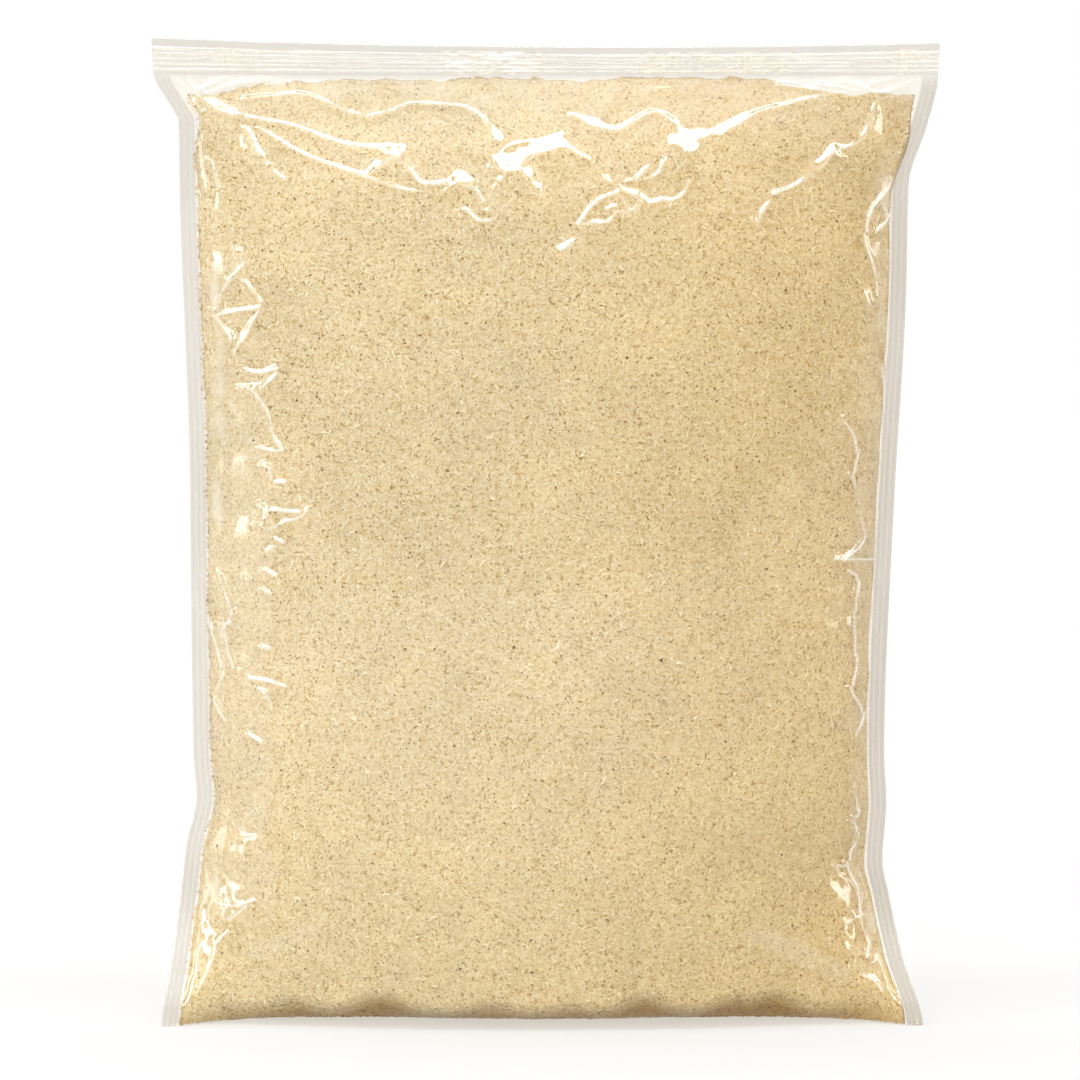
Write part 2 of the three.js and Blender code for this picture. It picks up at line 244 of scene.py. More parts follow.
SIDE_CREASES = (
    # left, from the top down
    ((-82.7, 211, 0.5), (-82.2, 208.6, 0.6), (-82.7, 205, 0.5)),
    ((-83.3, 206.5, 0.5), (-87.4, 201.7, 0.7), (-90, 197, 0.6), (-90.2, 193.5, 0.6)),
    ((-81.3, 202.4, 1.0), (-79.2, 199.7, 0.6), (-77.6, 197, 0.6), (-77.9, 195.6, 0.6),
     (-80.6, 191.2, 1.0), (-82.2, 188.1, 1.6), (-84.4, 186.7, 2.4)),
    ((-90.2, 193.5, 0.6), (-87.4, 190.1, 0.9), (-85.4, 188.1, 1.8), (-84.7, 186, 2.4),
     (-85.3, 182.6, 0.6)),
    ((-90.3, 193.5, 0.6), (-84, 194.9, 0.8), (-77.9, 195.6, 0.6)),
    ((-81.3, 178.4, 0.6), (-77.2, 178.1, 1.2), (-73.8, 179.2, 1.4), (-73.8, 177.2, 0.8),
     (-77.2, 174.4, 1.2), (-79.5, 173.8, 2.4), (-78.6, 172.1, 1.6), (-76.5, 168.3, 0.7),
     (-74.9, 164.2, 0.6), (-73.8, 160.4, 0.9), (-71.7, 156.7, 1.0)),
    ((-77.2, 157.3, 0.8), (-74.5, 156.6, 0.7), (-71.7, 156.9, 0.9)),
    ((-75.2, 152, 1.2), (-74.6, 149.2, 0.8)),
    ((-73.8, 148.1, 0.9), (-71.1, 148, 1.0)),
    ((-76.2, 140.8, 1.4), (-75.6, 138, 2.6), (-75.4, 135.6, 1.8), (-71.7, 137.2, 0.9),
     (-67, 138.6, 0.7), (-64.9, 140.8, 0.6)),
    ((-76.2, 140.8, 1.2), (-71, 140.2, 0.8), (-67, 139.8, 0.6)),
    ((-73.5, 132.8, 0.9), (-71.3, 131.5, 0.8)),
    ((-75.8, 129.4, 0.6), (-73.8, 130.8, 0.6)),
    ((-75.8, 124, 0.9), (-73.5, 122.6, 1.0)),
    ((-76.4, 118.5, 0.7), (-74.8, 117.6, 0.7)),
    ((-76.8, 103.1, 0.8), (-75.2, 102.7, 0.9)),
    ((-88.8, 122.6, 0.6), (-87.4, 118.5, 0.6), (-85.9, 113.8, 0.9), (-86.7, 109.7, 1.8),
     (-86.2, 101.5, 1.0), (-84.7, 96.7, 0.6), (-85.8, 94, 0.5)),
    ((-93.2, 116.8, 1.0), (-91.8, 111, 0.8), (-89.5, 103.5, 0.7), (-88.1, 97.1, 0.9),
     (-89.1, 93.3, 0.7), (-90.2, 89.2, 0.6), (-88.1, 84.4, 0.8), (-86.7, 82.4, 0.5)),
    ((-93.6, 95.3, 0.8), (-92.6, 91.2, 0.8), (-92.8, 83.8, 1.0)),
    ((-80.9, 94.7, 0.8), (-76.5, 94, 0.7), (-70.8, 92.5, 0.9)),
    ((-77.9, 91.9, 0.8), (-75.8, 90.6, 1.9), (-74.5, 87.2, 0.7)),
    ((-80.9, 79.4, 0.7), (-77.3, 77.2, 0.9)),
    ((-82, 50.7, 0.9), (-79.4, 51.1, 0.9)),
    ((-89.9, 33.8, 0.7), (-85.1, 32.9, 1.3), (-79.4, 34.1, 0.7)),
    ((-86.9, 31.6, 1.8), (-86.3, 29.7, 2.0), (-81, 33, 0.6)),
    ((-87, 25.9, 0.9), (-90.2, 22.6, 1.3), (-90.8, 19.5, 1.4), (-91.5, 16.9, 1.0),
     (-93.4, 13.1, 0.8), (-95.3, 8.7, 0.6)),
    # right, from the top down
    ((95.6, 226, 0.6), (94.7, 217.4, 1.6), (94, 203.8, 1.8), (92.9, 186.7, 1.4),
     (92.3, 179.2, 1.2), (93.2, 165.6, 1.0), (92.8, 150, 0.5)),
    ((96.8, 236, 0.6), (93.2, 228.4, 1.2), (88.4, 221.6, 1.0), (87.4, 214, 0.7), (89.8, 207, 0.7),
     (91.6, 199, 0.5)),
    ((91.3, 225.2, 0.6), (93.4, 220.8, 0.9), (89.9, 216, 0.6)),
    ((101.9, 246.8, 0.7), (99.4, 238.2, 1.3), (96.8, 229.8, 1.6), (94.6, 225.6, 0.8)),
    ((91.5, 147, 0.5), (90.4, 136.6, 0.9), (89.9, 124, 0.6), (90.8, 111, 0.9), (89.6, 97, 0.6),
     (90.3, 83, 0.8), (89.2, 70, 0.5)),
    ((87.8, 199, 0.8), (88.8, 196.3, 0.7)),
    ((81, 165.6, 0.6), (84.2, 160.8, 0.8), (85, 156, 0.8), (84, 150, 0.7), (85.5, 143.2, 0.6),
     (87, 134.5, 0.7), (85.5, 130.4, 0.9), (81.2, 126.9, 1.1)),
    ((82.8, 124, 0.8), (85.3, 121.5, 0.8), (84.4, 113.8, 0.7), (84.7, 99, 0.8), (83.6, 91.7, 0.8),
     (86.6, 85.4, 1.0), (84.4, 78.8, 0.6)),
    ((79, 127.2, 0.8), (90, 127, 1.0)),
    ((84.9, 64, 0.6), (85.2, 57.7, 0.8), (83.8, 56.3, 1.4), (84.9, 54.2, 1.0), (84.9, 50.6, 0.6),
     (83.1, 47.7, 0.9), (82.7, 43.9, 1.2), (83.5, 40.7, 0.9), (85.5, 37.2, 0.8),
     (85.9, 30.8, 0.8), (86.3, 27.7, 0.5)),
    ((79, 43, 0.6), (82.7, 43.7, 0.7)),
    ((79, 43, 0.6), (81, 40.7, 0.6), (83.8, 39, 0.6)),
    ((88, 23, 0.9), (87.3, 18.8, 0.8)),
    ((86.6, 13.9, 0.7), (89.8, 12.5, 1.2), (91.9, 9.6, 0.7)),
)

# Broad glints: (place across, height, length, width of the flank that shines, turn in degrees).
FACETS = (
    (-9.5, 236.3, 11, 8.5, 8), (-2, 239.4, 14, 5, 14), (39.2, 240.6, 8.5, 7, -8),
    (-42, 237.6, 6.5, 4.2, 12), (-22, 230.6, 5, 4.5, -35), (50, 245.2, 10, 3, 27),
    (-88.5, 250.3, 8, 3, -28), (-77.5, 237.5, 9, 2.6, -55), (76, 236.6, 8, 3, 42),
    (-84.5, 187.2, 6.5, 3.2, -10), (-79.3, 173.6, 5, 3, 20), (-75.3, 138, 4, 3, 10),
    (22.5, 227.6, 6, 2.2, -20), (5.3, 212.5, 5, 2.6, 25), (-86.6, 31, 5, 2.8, 15),
)

# The camera, which looks a little down at the middle of the bag
CAMERA_DISTANCE = 1500.0
CAMERA_ELEVATION = math.radians(5)
CAMERA_AIM = (-1.5, 0.0, 132.0)
TOP_SEAL_DISTANCE = 1488.0


def smoothstep(v, low, high):
    t = np.clip((v - low) / (high - low), 0, 1)
    return t * t * (3 - 2 * t)


def lerp(a, b, t):
    return a + (b - a) * t


def curve_through(points):
    """A smooth curve through (position, value) points that never overshoots them."""
    p, v = np.array(points, float).T
    slopes = np.diff(v) / np.diff(p)
    tangents = np.zeros(len(p))
    before, after = slopes[:-1], slopes[1:]
    same = before * after > 0
    tangents[1:-1][same] = 2 * before[same] * after[same] / (before + after)[same]

    def at(x):
        x = np.clip(x, p[0], p[-1])
        i = np.clip(np.searchsorted(p, x, side="right") - 1, 0, len(p) - 2)
        gap = p[i + 1] - p[i]
        t = (x - p[i]) / gap
        return (
            v[i] * (1 + 2 * t) * (1 - t) ** 2
            + gap * tangents[i] * t * (1 - t) ** 2
            + v[i + 1] * t * t * (3 - 2 * t)
            + gap * tangents[i + 1] * t * t * (t - 1)
        )

    return at


left_drawn_in = curve_through(LEFT_DRAWN_IN)
right_drawn_in = curve_through(RIGHT_DRAWN_IN)
fullness = curve_through(FULLNESS)


def noise(u, v, seed):
    """Smooth noise from -1 to 1 over the plane, with features about 1 across."""
    lattice = np.random.default_rng(SEED + seed).uniform(-1, 1, (256, 256))
    iu, iv = np.floor(u).astype(int), np.floor(v).astype(int)
    fu, fv = u - iu, v - iv
    fu, fv = fu * fu * (3 - 2 * fu), fv * fv * (3 - 2 * fv)
    corner = lambda a, b: lattice[(iu + a) % 256, (iv + b) % 256]
    low = lerp(corner(0, 0), corner(1, 0), fu)
    high = lerp(corner(0, 1), corner(1, 1), fu)
    return lerp(low, high, fv)


def section_share(across, z):
    near_base = np.exp(-z / BASE_SECTION_HEIGHT)
    flatness = lerp(BODY_FLATNESS, BASE_FLATNESS, near_base)
    roundness = lerp(BODY_ROUNDNESS, BASE_ROUNDNESS, near_base)
    return np.maximum(0, 1 - np.abs(across) ** flatness) ** roundness


def pucker_relief(across, z, phase):
    reach = np.exp(-(1 - np.abs(across)) / PUCKER_REACH)
    side = np.sign(across)
    turn = math.pi * z / PUCKER_PITCH + phase + side
    turn += PUCKER_WANDER * noise(z / PUCKER_WANDER_HEIGHT, phase + 3 * side, 141)
    wave = np.abs(np.sin(turn + PUCKER_DRIFT * np.sin(turn / 3)))
    uneven = noise(z / PUCKER_SHARE_HEIGHT, phase + 5 * side, 142)
    wave = lerp(1, wave, PUCKER_SHARE + PUCKER_SHARE_SPREAD * uneven)
    starts = smoothstep(z, PUCKERS_FROM, PUCKERS_FROM + PUCKER_PITCH)
    stops = smoothstep(z, PUCKERS_TO - 2 * PUCKER_PITCH, PUCKERS_TO)
    return -PUCKER_DEPTH * reach * (1 - wave) * starts * (1 - stops)


def edge_height(dimples, x):
    """How high the wall starts to turn under."""
    lifts = (rise * np.exp(-(((x - at) / half) ** 2)) for at, rise, half in dimples)
    return BASE_EDGE_RISE + sum(lifts)


def turned_under(sheet, x, z, depth):
    inset = np.minimum(sheet.inset, sheet.inset / BASE_EDGE_INSET * MOST_TURNED_UNDER * depth)
    below = np.maximum(0, 1 - z / edge_height(sheet.dimples, x))
    return inset * lerp(below, 1 - np.sqrt(1 - below**2), FILM_EDGE_ROUND)


def mid_surface(across, x, z):
    at_top = smoothstep(z, PUCKERS_TO, SHOULDER_TOP)
    sway = SEAL_SWAY * np.sin(2 * math.pi * z / SEAL_SWAY_LENGTH + np.sign(across)) * (1 - at_top)
    ear = EAR_FORWARD * np.exp(-((z / EAR_HEIGHT) ** 2))
    wave = TOP_WAVE * np.sin(2 * math.pi * x / TOP_WAVE_LENGTH) * at_top
    return np.abs(across) ** SEAL_HOLD * (sway - ear) + wave


def drop(x, z):
    share = x / HALF_WIDTH
    rightward = RIGHT_END_DROP * (1 + share) / 2
    middle = (TOP_SAG - RIGHT_END_DROP / 2) * (1 - share**2)
    in_band = FILM_SAG_IN_BAND * smoothstep(z, SHOULDER_TOP - 1, HEIGHT)
    below_band = (1 - FILM_SAG_IN_BAND) * smoothstep(z, SAG_FROM, SHOULDER_TOP)
    return (rightward + middle) * (below_band + in_band)


def inner_edges(z):
    left = left_drawn_in(z) + SIDE_SEAL_WIDTH - HALF_WIDTH
    right = HALF_WIDTH - right_drawn_in(z) - SIDE_SEAL_WIDTH
    return left, right


class Sheet:
    def __init__(self, sign, dimples, phase, inset):
        self.sign, self.dimples, self.phase, self.inset = sign, dimples, phase, inset

    def wall(self, x, z):
        """Half the depth of the filled bag at a place, with puckers but no folds."""
        left, right = inner_edges(z)
        across = np.clip(2 * (x - left) / (right - left) - 1, -1, 1)
        wall = HALF_DEPTH * fullness(z) * section_share(across, z)
        pucker = pucker_relief(across, z, self.phase) * np.minimum(1, wall / PUCKER_FULL_DEPTH)
        return np.maximum(0, wall + pucker), across

    def place(self, x, z, depth, across):
        """Where a point of the sheet is that stands off the seals' plane by a depth."""
        depth = depth - turned_under(self, x, z, depth)
        y = mid_surface(across, x, z) + self.sign * depth
        return np.stack([x, y, z - drop(x, z)], -1)


FRONT = Sheet(-1, FRONT_DIMPLES, 0, FRONT_EDGE_INSET)
BACK = Sheet(1, BACK_DIMPLES, 2.1, BASE_EDGE_INSET)


def smooth_line(points, step=0.5):
    """A Catmull-Rom curve through points, as closely spaced points."""
    p = np.array(points, float)
    p = np.vstack([2 * p[0] - p[1], p, 2 * p[-1] - p[-2]])
    out = []
    for a, b, c, d in zip(p, p[1:], p[2:], p[3:]):
        count = max(2, int(np.linalg.norm(c - b) / step))
        t = np.linspace(0, 1, count, endpoint=False)[:, None]
        out.append(0.5 * (2 * b + (c - a) * t + (2 * a - 5 * b + 4 * c - d) * t**2
                          + (3 * b - a - 3 * c + d) * t**3))
    return np.vstack(out + [p[-2:-1]])


def wall_slopes(x, z, wall):
    rows, columns = np.gradient(wall)
    run_z, run_x = np.gradient(z, axis=0), np.gradient(x, axis=1)
    return columns / np.maximum(run_x, SHORTEST_RUN), rows / np.maximum(run_z, SHORTEST_RUN)


def crease_relief(creases, x, z, base, seed):
    """What creases add to the film, how small the mesh's cells have to be, and painted highlight
    lines.

    A crease's upper flank lies on the line given. With the wall's own slope it is as steep as
    GLINT_SLOPE, so that it shows the light over the bag. The crest is the flank's lower edge, and
    the lower flank is longer and gentler.
    """
    relief, white = np.zeros_like(x), np.zeros_like(x)
    cells = np.full(x.shape, LARGEST_CELL)
    slope_x, slope_z = wall_slopes(x, z, base)
    for number, line in enumerate(map(smooth_line, creases)):
        reach = 3 * line[:, 2].max() + 1
        low, high = line[:, :2].min(0) - reach, line[:, :2].max(0) + reach
        near = (x > low[0]) & (x < high[0]) & (z > low[1]) & (z < high[1])
        px, pz = x[near], z[near]
        gap = (px[:, None] - line[None, :, 0]) ** 2 + (pz[:, None] - line[None, :, 1]) ** 2
        i = gap.argmin(1)
        away = np.sqrt(gap[np.arange(len(i)), i])
        tangent = np.gradient(line[:, :2], axis=0)[i]
        tangent *= np.where(tangent[:, :1] < 0, -1, 1) / np.linalg.norm(tangent, axis=1)[:, None]
        width = np.maximum(line[i, 2], THINNEST_FLANK)
        side = tangent[:, 0] * (pz - line[i, 1]) - tangent[:, 1] * (px - line[i, 0])
        beyond = np.sqrt(np.maximum(0, away**2 - side**2))
        side += FLANK_MIDDLE * width
        falls = slope_x[near] * tangent[:, 1] - slope_z[near] * tangent[:, 0]
        beside = slope_x[near] ** 2 + slope_z[near] ** 2 - falls**2
        needed = np.sqrt(np.maximum(0, GLINT_SLOPE**2 - beside)) - falls
        spread = noise(px / SLOPE_SPREAD_LENGTH, pz / SLOPE_SPREAD_LENGTH, seed + number)
        steeper = lerp(THIN_STEEPER, 1, smoothstep(width, THIN_FLANK, BROAD_FLANK))
        slope = np.clip(needed * steeper, LEAST_SLOPE, GREATEST_SLOPE) * (1 + SLOPE_SPREAD * spread)
        flank = width * np.where(side > 0, 1, LOWER_FLANK)
        t = (np.sqrt(side**2 + beyond**2 + CREST_BLUNT**2) - CREST_BLUNT) / flank
        foot = np.maximum(0, 1 + CREASE_FOOT - t) ** 2 / (4 * CREASE_FOOT)
        crest = np.where(t < 1 - CREASE_FOOT, 1 - t, foot)
        relief[near] = np.maximum(relief[near], slope * width * crest)
        size = np.where(width < NARROW_FLANK, 1, 2)
        size = np.where(t > 1 + CREASE_FOOT, LARGEST_CELL, size)
        cells[near] = np.minimum(cells[near], size)
        # A painted highlight: a white line along the crest, in place of the glint of the light over
        # the bag
        painted_sheen = 1 - np.sqrt((side - GLINT_LINE_RISE) ** 2 + beyond**2) / GLINT_LINE
        painted_sheen *= smoothstep(line[i, 2], GLINT_LINE_FROM, GLINT_LINE_FULL)
        white[near] = np.maximum(white[near], painted_sheen)
    return relief, cells, white


def facet_relief(x, z, base, seed):
    """Tent-like dents of which one even facet shines, and how small the cells have to be."""
    relief = np.zeros_like(x)
    cells = np.full(x.shape, LARGEST_CELL)
    slopes_x, slopes_z = wall_slopes(x, z, base)
    wave = FACET_RAGGED * noise(x / FACET_RAGGED_LENGTH, z / FACET_RAGGED_LENGTH, seed)
    for at_x, at_z, length, width, turn in FACETS:
        cos, sin = math.cos(math.radians(turn)), math.sin(math.radians(turn))
        along = (x - at_x) * cos + (z - at_z) * sin + wave
        above = (z - at_z) * cos - (x - at_x) * sin + width / 2 + wave
        middle = np.unravel_index(((x - at_x) ** 2 + (z - at_z) ** 2).argmin(), x.shape)
        slope_x, slope_z = slopes_x[middle], slopes_z[middle]
        falls = slope_x * sin - slope_z * cos
        beside = slope_x**2 + slope_z**2 - falls**2
        steep = max(FACET_LEAST_SLOPE, math.sqrt(max(0, GLINT_SLOPE**2 - beside)) - falls)
        foot = FACET_FOOT_SLOPE * steep * (above + FACET_FOOT_REACH * width)
        end = length / 2 + FACET_END_REACH * width - np.abs(along)
        tent = np.minimum(np.minimum(steep * (width - above), foot), FACET_END_SLOPE * steep * end)
        relief = np.maximum(relief, tent)
        cells[tent > -FACET_MARGIN] = 2
    return relief, cells


def crumple(x, z, seed, length, count=5):
    """Facets of crumpled film, from 0 to 1: triangle waves in several directions."""
    random = np.random.default_rng(SEED + seed)
    total = np.zeros_like(x)
    bend_x = x + 0.35 * length * noise(x / length, z / length, seed + 1)
    bend_z = z + 0.35 * length * noise(x / length, z / length, seed + 2)
    for _ in range(count):
        angle = random.uniform(0, math.pi)
        scale = length * random.uniform(0.7, 1.4)
        t = (bend_x * math.cos(angle) + bend_z * math.sin(angle)) / scale + random.uniform(0, 1)
        total += np.abs(2 * (t % 1) - 1)
    return total / count


def seen(x, y, z):
    """Where the camera sees a place, as a place across and a height in the seals' plane."""
    cos, sin = math.cos(CAMERA_ELEVATION), math.sin(CAMERA_ELEVATION)
    away = CAMERA_DISTANCE + y * cos - (z - CAMERA_AIM[2]) * sin
    up = y * sin + (z - CAMERA_AIM[2]) * cos
    scale = TOP_SEAL_DISTANCE / away
    return CAMERA_AIM[0] + (x - CAMERA_AIM[0]) * scale, CAMERA_AIM[2] + up * scale


# Where the film is loose: in the shoulder, along the sides and in the low corners
SHOULDER_FROM, SHOULDER_FULL = 205, 240
EDGE_REACH = 0.13
CORNER_FROM, CORNER_FULL = 0.7, 0.9
CORNER_FULL_HEIGHT, CORNER_HEIGHT = 25, 60
# Its crumples: (depth, facet length, pattern)
LOOSE_CRUMPLE, FINE_CRUMPLE = (0.45, 15, 0), (0.12, 6, 9)
SHOULDER_CRUMPLE, SHOULDER_FLAT = (0.8, 30, 3), 0.3
EDGE_CRUMPLE, EDGE_STRETCH = (1.1, 13, 6), 0.7
CORNER_CRUMPLES = (1.5, 7, 13), (0.6, 3.2, 16)
CRUMPLED_WALL = 2.5
# The back has the front's folds, moved and stretched a little
BACK_STRETCH, BACK_SHIFT, BACK_WAVE, BACK_WAVE_LENGTH, BACK_SIDE_RISE = 1.02, -4, 2, 30, 7
# How strong the painted highlight lines on folds are in the shoulder and at the sides
PAINTED_GLINT_STRENGTH = (0.5, 1)
LOOSE_CELL, CORNER_CELL = 4, 2


def film_relief(sheet, x, z, wall, across):
    """What creases and crumples add to the filled wall, the mesh's cell sizes, painted highlight
    lines.
    """
    shoulder = smoothstep(z, SHOULDER_FROM, SHOULDER_FULL)
    edge = np.exp(-(1 - np.abs(across)) / EDGE_REACH)
    loose = np.clip(shoulder + edge, 0, 1)
    low_corner = smoothstep(np.abs(across), CORNER_FROM, CORNER_FULL)
    low_corner *= 1 - smoothstep(z, CORNER_FULL_HEIGHT, CORNER_HEIGHT)
    seed = 11 if sheet is FRONT else 31

    def crumpled(kind, stretch=1, flat=0):
        depth, length, pattern = kind
        return depth * np.maximum(0, crumple(x, stretch * z, seed + pattern, length) - flat)

    relief = crumpled(LOOSE_CRUMPLE) * loose
    relief += crumpled(SHOULDER_CRUMPLE, flat=SHOULDER_FLAT) * shoulder
    relief += crumpled(EDGE_CRUMPLE, stretch=EDGE_STRETCH) * edge
    relief += crumpled(FINE_CRUMPLE) * loose
    for kind in CORNER_CRUMPLES:
        relief += crumpled(kind) * low_corner
    relief *= np.minimum(1, wall / CRUMPLED_WALL)
    if sheet is FRONT:
        at_x, at_z = seen(*np.moveaxis(sheet.place(x, z, wall, across), -1, 0))
        folds = ((SHOULDER_CREASES, at_x, at_z, 71), (SIDE_CREASES, at_x, at_z, 171))
    else:
        at_z = z + BACK_WAVE * np.sin(x / BACK_WAVE_LENGTH)
        folds = ((SHOULDER_CREASES, x * BACK_STRETCH + BACK_SHIFT, at_z, 371),
                 (SIDE_CREASES, x, z + BACK_SIDE_RISE, 471))
    raised, cells = facet_relief(folds[0][1], folds[0][2], wall, seed + 12)
    cells = np.minimum(cells, np.where(loose > 0.08, LOOSE_CELL, LARGEST_CELL))
    crumpled_corner = (low_corner > 0.3) & (wall > 0.2)
    cells = np.where(crumpled_corner, np.minimum(cells, CORNER_CELL), cells)
    white = np.zeros_like(x)
    for (creases, at_x, at_z, seed), glint_strength in zip(folds, PAINTED_GLINT_STRENGTH):
        crest, small, lines = crease_relief(creases, at_x, at_z, wall, seed)
        raised = np.maximum(raised, crest)
        white = np.maximum(white, glint_strength * lines)
        cells = np.minimum(cells, small)
    relief += raised * np.minimum(1, (wall + 0.6) / 1.4)
    if sheet is BACK:
        cells = np.minimum(LARGEST_CELL, cells * 2)
    return relief, cells, white


# The film's mesh: a fine grid, of which cells from 1 to LARGEST_CELL steps wide become faces
LARGEST_CELL = 8
BODY_ROWS = 89 * LARGEST_CELL
BODY_COLUMNS = 62 * LARGEST_CELL
LOW_ROWS_SHARE, LOW_ROWS_HEIGHT = 0.06, 10.0
FIN_COLUMNS = 15
BAND_ROWS = ((SHOULDER_TOP, RIBS_BOTTOM, 4), (RIBS_BOTTOM, RIBS_TOP, RIB_COUNT * 8),
             (RIBS_TOP, HEIGHT, 5))
EDGE_CELL = 4
FIN_RIB_COUNT = 3
FIN_RIB_HEIGHT = 0.22
# Where the painted highlight lines on the top seal's ribs run together: (from, to, share)
RIB_PATCHES = ((-32, 0, 0.9), (24, 70, 0.4), (-92, -80, 0.4), (92, 104, 0.4))
PATCH_FADE = 5
RIB_LINE_SHARE, RIB_LINE_SPREAD, RIB_PATCH_SHARE = 0.36, 0.36, 0.9


def across_steps(count, crowded):
    """From -1 to 1, closer together towards both ends."""
    turn = np.linspace(-1, 1, count + 1)
    return lerp(turn, np.sin(math.pi / 2 * turn), crowded)


def film_heights():
    shares = np.linspace(0, 1, BODY_ROWS, endpoint=False)
    body = np.interp(shares, (0, LOW_ROWS_SHARE, 1), (0, LOW_ROWS_HEIGHT, SHOULDER_TOP))
    band = [np.linspace(low, high, count, endpoint=False) for low, high, count in BAND_ROWS]
    return np.concatenate([body, *band, [HEIGHT]])


def rib_relief(x, z):
    inside = (z <= RIBS_TOP) & (z >= RIBS_BOTTOM)
    wave = (1 - np.cos(2 * math.pi * (RIBS_TOP - z) / RIB_PITCH)) / 2
    uneven = 1 + 0.25 * noise(x / 9, z / 1.4, 101)
    return np.where(inside, FILM_RIB_HEIGHT * wave * uneven, 0)


def painted_rib_glints(x, z):
    """Painted highlight lines along the ribs, and patches where they run together, from 0 to 1."""
    inside = (z <= RIBS_TOP + 0.4) & (z >= RIBS_BOTTOM - 0.4)
    crest = (1 - np.cos(2 * math.pi * (RIBS_TOP - z) / RIB_PITCH)) / 2
    rib = np.round((RIBS_TOP - z) / RIB_PITCH + 0.5)
    lines = smoothstep(crest, 0.72, 0.95)
    lines = lines * (RIB_LINE_SHARE + RIB_LINE_SPREAD * noise(x / 13, rib * 1.7, 106))
    dashes = smoothstep(noise(x / 2.1, z / 0.7, 107) + 0.5 * noise(x / 5, z / 2, 108), -0.1, 0.3)
    patches = 0
    for low, high, share in RIB_PATCHES:
        inner = smoothstep(x, low, low + PATCH_FADE) * (1 - smoothstep(x, high - PATCH_FADE, high))
        patches += share * inner
    return inside * np.clip(np.maximum(lines, RIB_PATCH_SHARE * dashes * patches), 0, 1)


def fin_ribs(outside, z):
    """Lines along a side seal, from 0 to 1, at a distance outside its inner edge."""
    share = np.clip(outside / SIDE_SEAL_WIDTH, 0, 1)
    wave = (1 - np.cos(2 * math.pi * FIN_RIB_COUNT * share)) / 2
    below_band = 1 - smoothstep(z, SHOULDER_TOP - 6, SHOULDER_TOP)
    return wave * below_band * (0.75 + 0.25 * noise(z / 17, share * 3, 105))


# Painted veils of reflected light on folds beside the seals: (place across, height, half width,
# half height)
VEIL_FOLDS = (
    (92.5, 227, 2.8, 7), (91.8, 200, 1.6, 14), (91.3, 138, 3.2, 22), (89, 84, 2.6, 12),
    (91, 28, 3.4, 9), (-91, 38, 2.6, 9), (-89, 172, 2.8, 20), (-90, 140, 3, 14),
    (-90.6, 200, 2.2, 12), (-88.5, 104, 1.8, 12),
)

# Painted veils of reflected light on flat places of the film: from (across, height) to
# (across, height), half width
VEIL_STREAKS = (
    (-79.2, 20, -62.9, 27.8, 2.4), (57.2, 26.5, 81.7, 14.2, 3), (-92, 199, -84, 208, 3),
    (-91, 62, -84, 56, 2.6), (-66, 246, -50, 236, 2.2),
)


# A painted veil of reflected light under the top seal, and how strong the painted veils of the
# three other kinds of place are
TOP_VEIL_SHARE, TOP_VEIL_FROM, TOP_VEIL_FULL = 0.28, 239, 257
LEFT_FOLD_SHARE, RIGHT_FOLD_SHARE, FOLD_SHARE, STREAK_SHARE = 0.12, 0.28, 0.45, 0.13
# Painted veils of reflected light in strips along the side seals: (side, inner edge, share), and
# how they end above and below
STRIPS = ((-1, 75.5, 0.16), (1, 84.5, 0.17))
STRIP_SWAY, STRIP_FADE, STRIP_ENDS = 2.5, 1.2, (18, 40, 165, 190)


def painted_veil_share(x, z, across):
    """How far painted veils of reflected light whiten the loose film, from 0 to 1: under the top
    seal and in side folds.
    """
    top_patches = lerp(0.35, 1, smoothstep(crumple(x, z, 66, 12), 0.3, 0.7))
    top = TOP_VEIL_SHARE * smoothstep(z, TOP_VEIL_FROM, TOP_VEIL_FULL) * top_patches
    beside = np.exp(-(1 - np.abs(across)) / 0.05) * smoothstep(z, 15, 60)
    folds = smoothstep(crumple(x, 0.6 * z, 61, 11), 0.48, 0.62)
    folds = folds * lerp(LEFT_FOLD_SHARE, RIGHT_FOLD_SHARE, smoothstep(x, 0, 20))
    whiter = np.maximum(top, beside * folds)
    streaks = lerp(0.45, 1, smoothstep(crumple(x, 0.3 * z, 65, 4), 0.35, 0.65))
    low, low_full, high_full, high = STRIP_ENDS
    for side, edge, share in STRIPS:
        inner = edge + STRIP_SWAY * noise(z / 11, side * 7, 171)
        strip = smoothstep(side * x, inner, inner + STRIP_FADE) * smoothstep(z, low, low_full)
        strip *= 1 - smoothstep(z, high_full, high)
        whiter = np.maximum(whiter, share * strip * (1 + streaks) / 2)
    for from_x, from_z, to_x, to_z, half_width in VEIL_STREAKS:
        run = np.array([to_x - from_x, to_z - from_z])
        length = np.hypot(*run)
        along = ((x - from_x) * run[0] + (z - from_z) * run[1]) / length
        beside = np.abs((x - from_x) * run[1] - (z - from_z) * run[0]) / length
        beyond = np.maximum(0, np.maximum(-along, along - length))
        streak = smoothstep(-np.hypot(beside, beyond), -half_width, 0.6 - half_width)
        whiter = np.maximum(whiter, STREAK_SHARE * streak)
    for at_x, at_z, half_width, half_height in VEIL_FOLDS:
        painted_sheen = np.exp(-(((x - at_x) / half_width) ** 2) - ((z - at_z) / half_height) ** 2)
        whiter = np.maximum(whiter, FOLD_SHARE * painted_sheen * streaks)
    return whiter


# How hazy the seals are, on a scale up to HAZIEST_SEAL, with the right seal hazier and darker as
# painted shade, and how strong a painted highlight line on a fold can be
BAND_HAZE, LEFT_SEAL_HAZE, RIGHT_SEAL_HAZE_AND_SHADE, BETWEEN_RIBS = 0.62, 0.95, 1.6, 0.6
STRONGEST_PAINTED_GLINT = 0.85


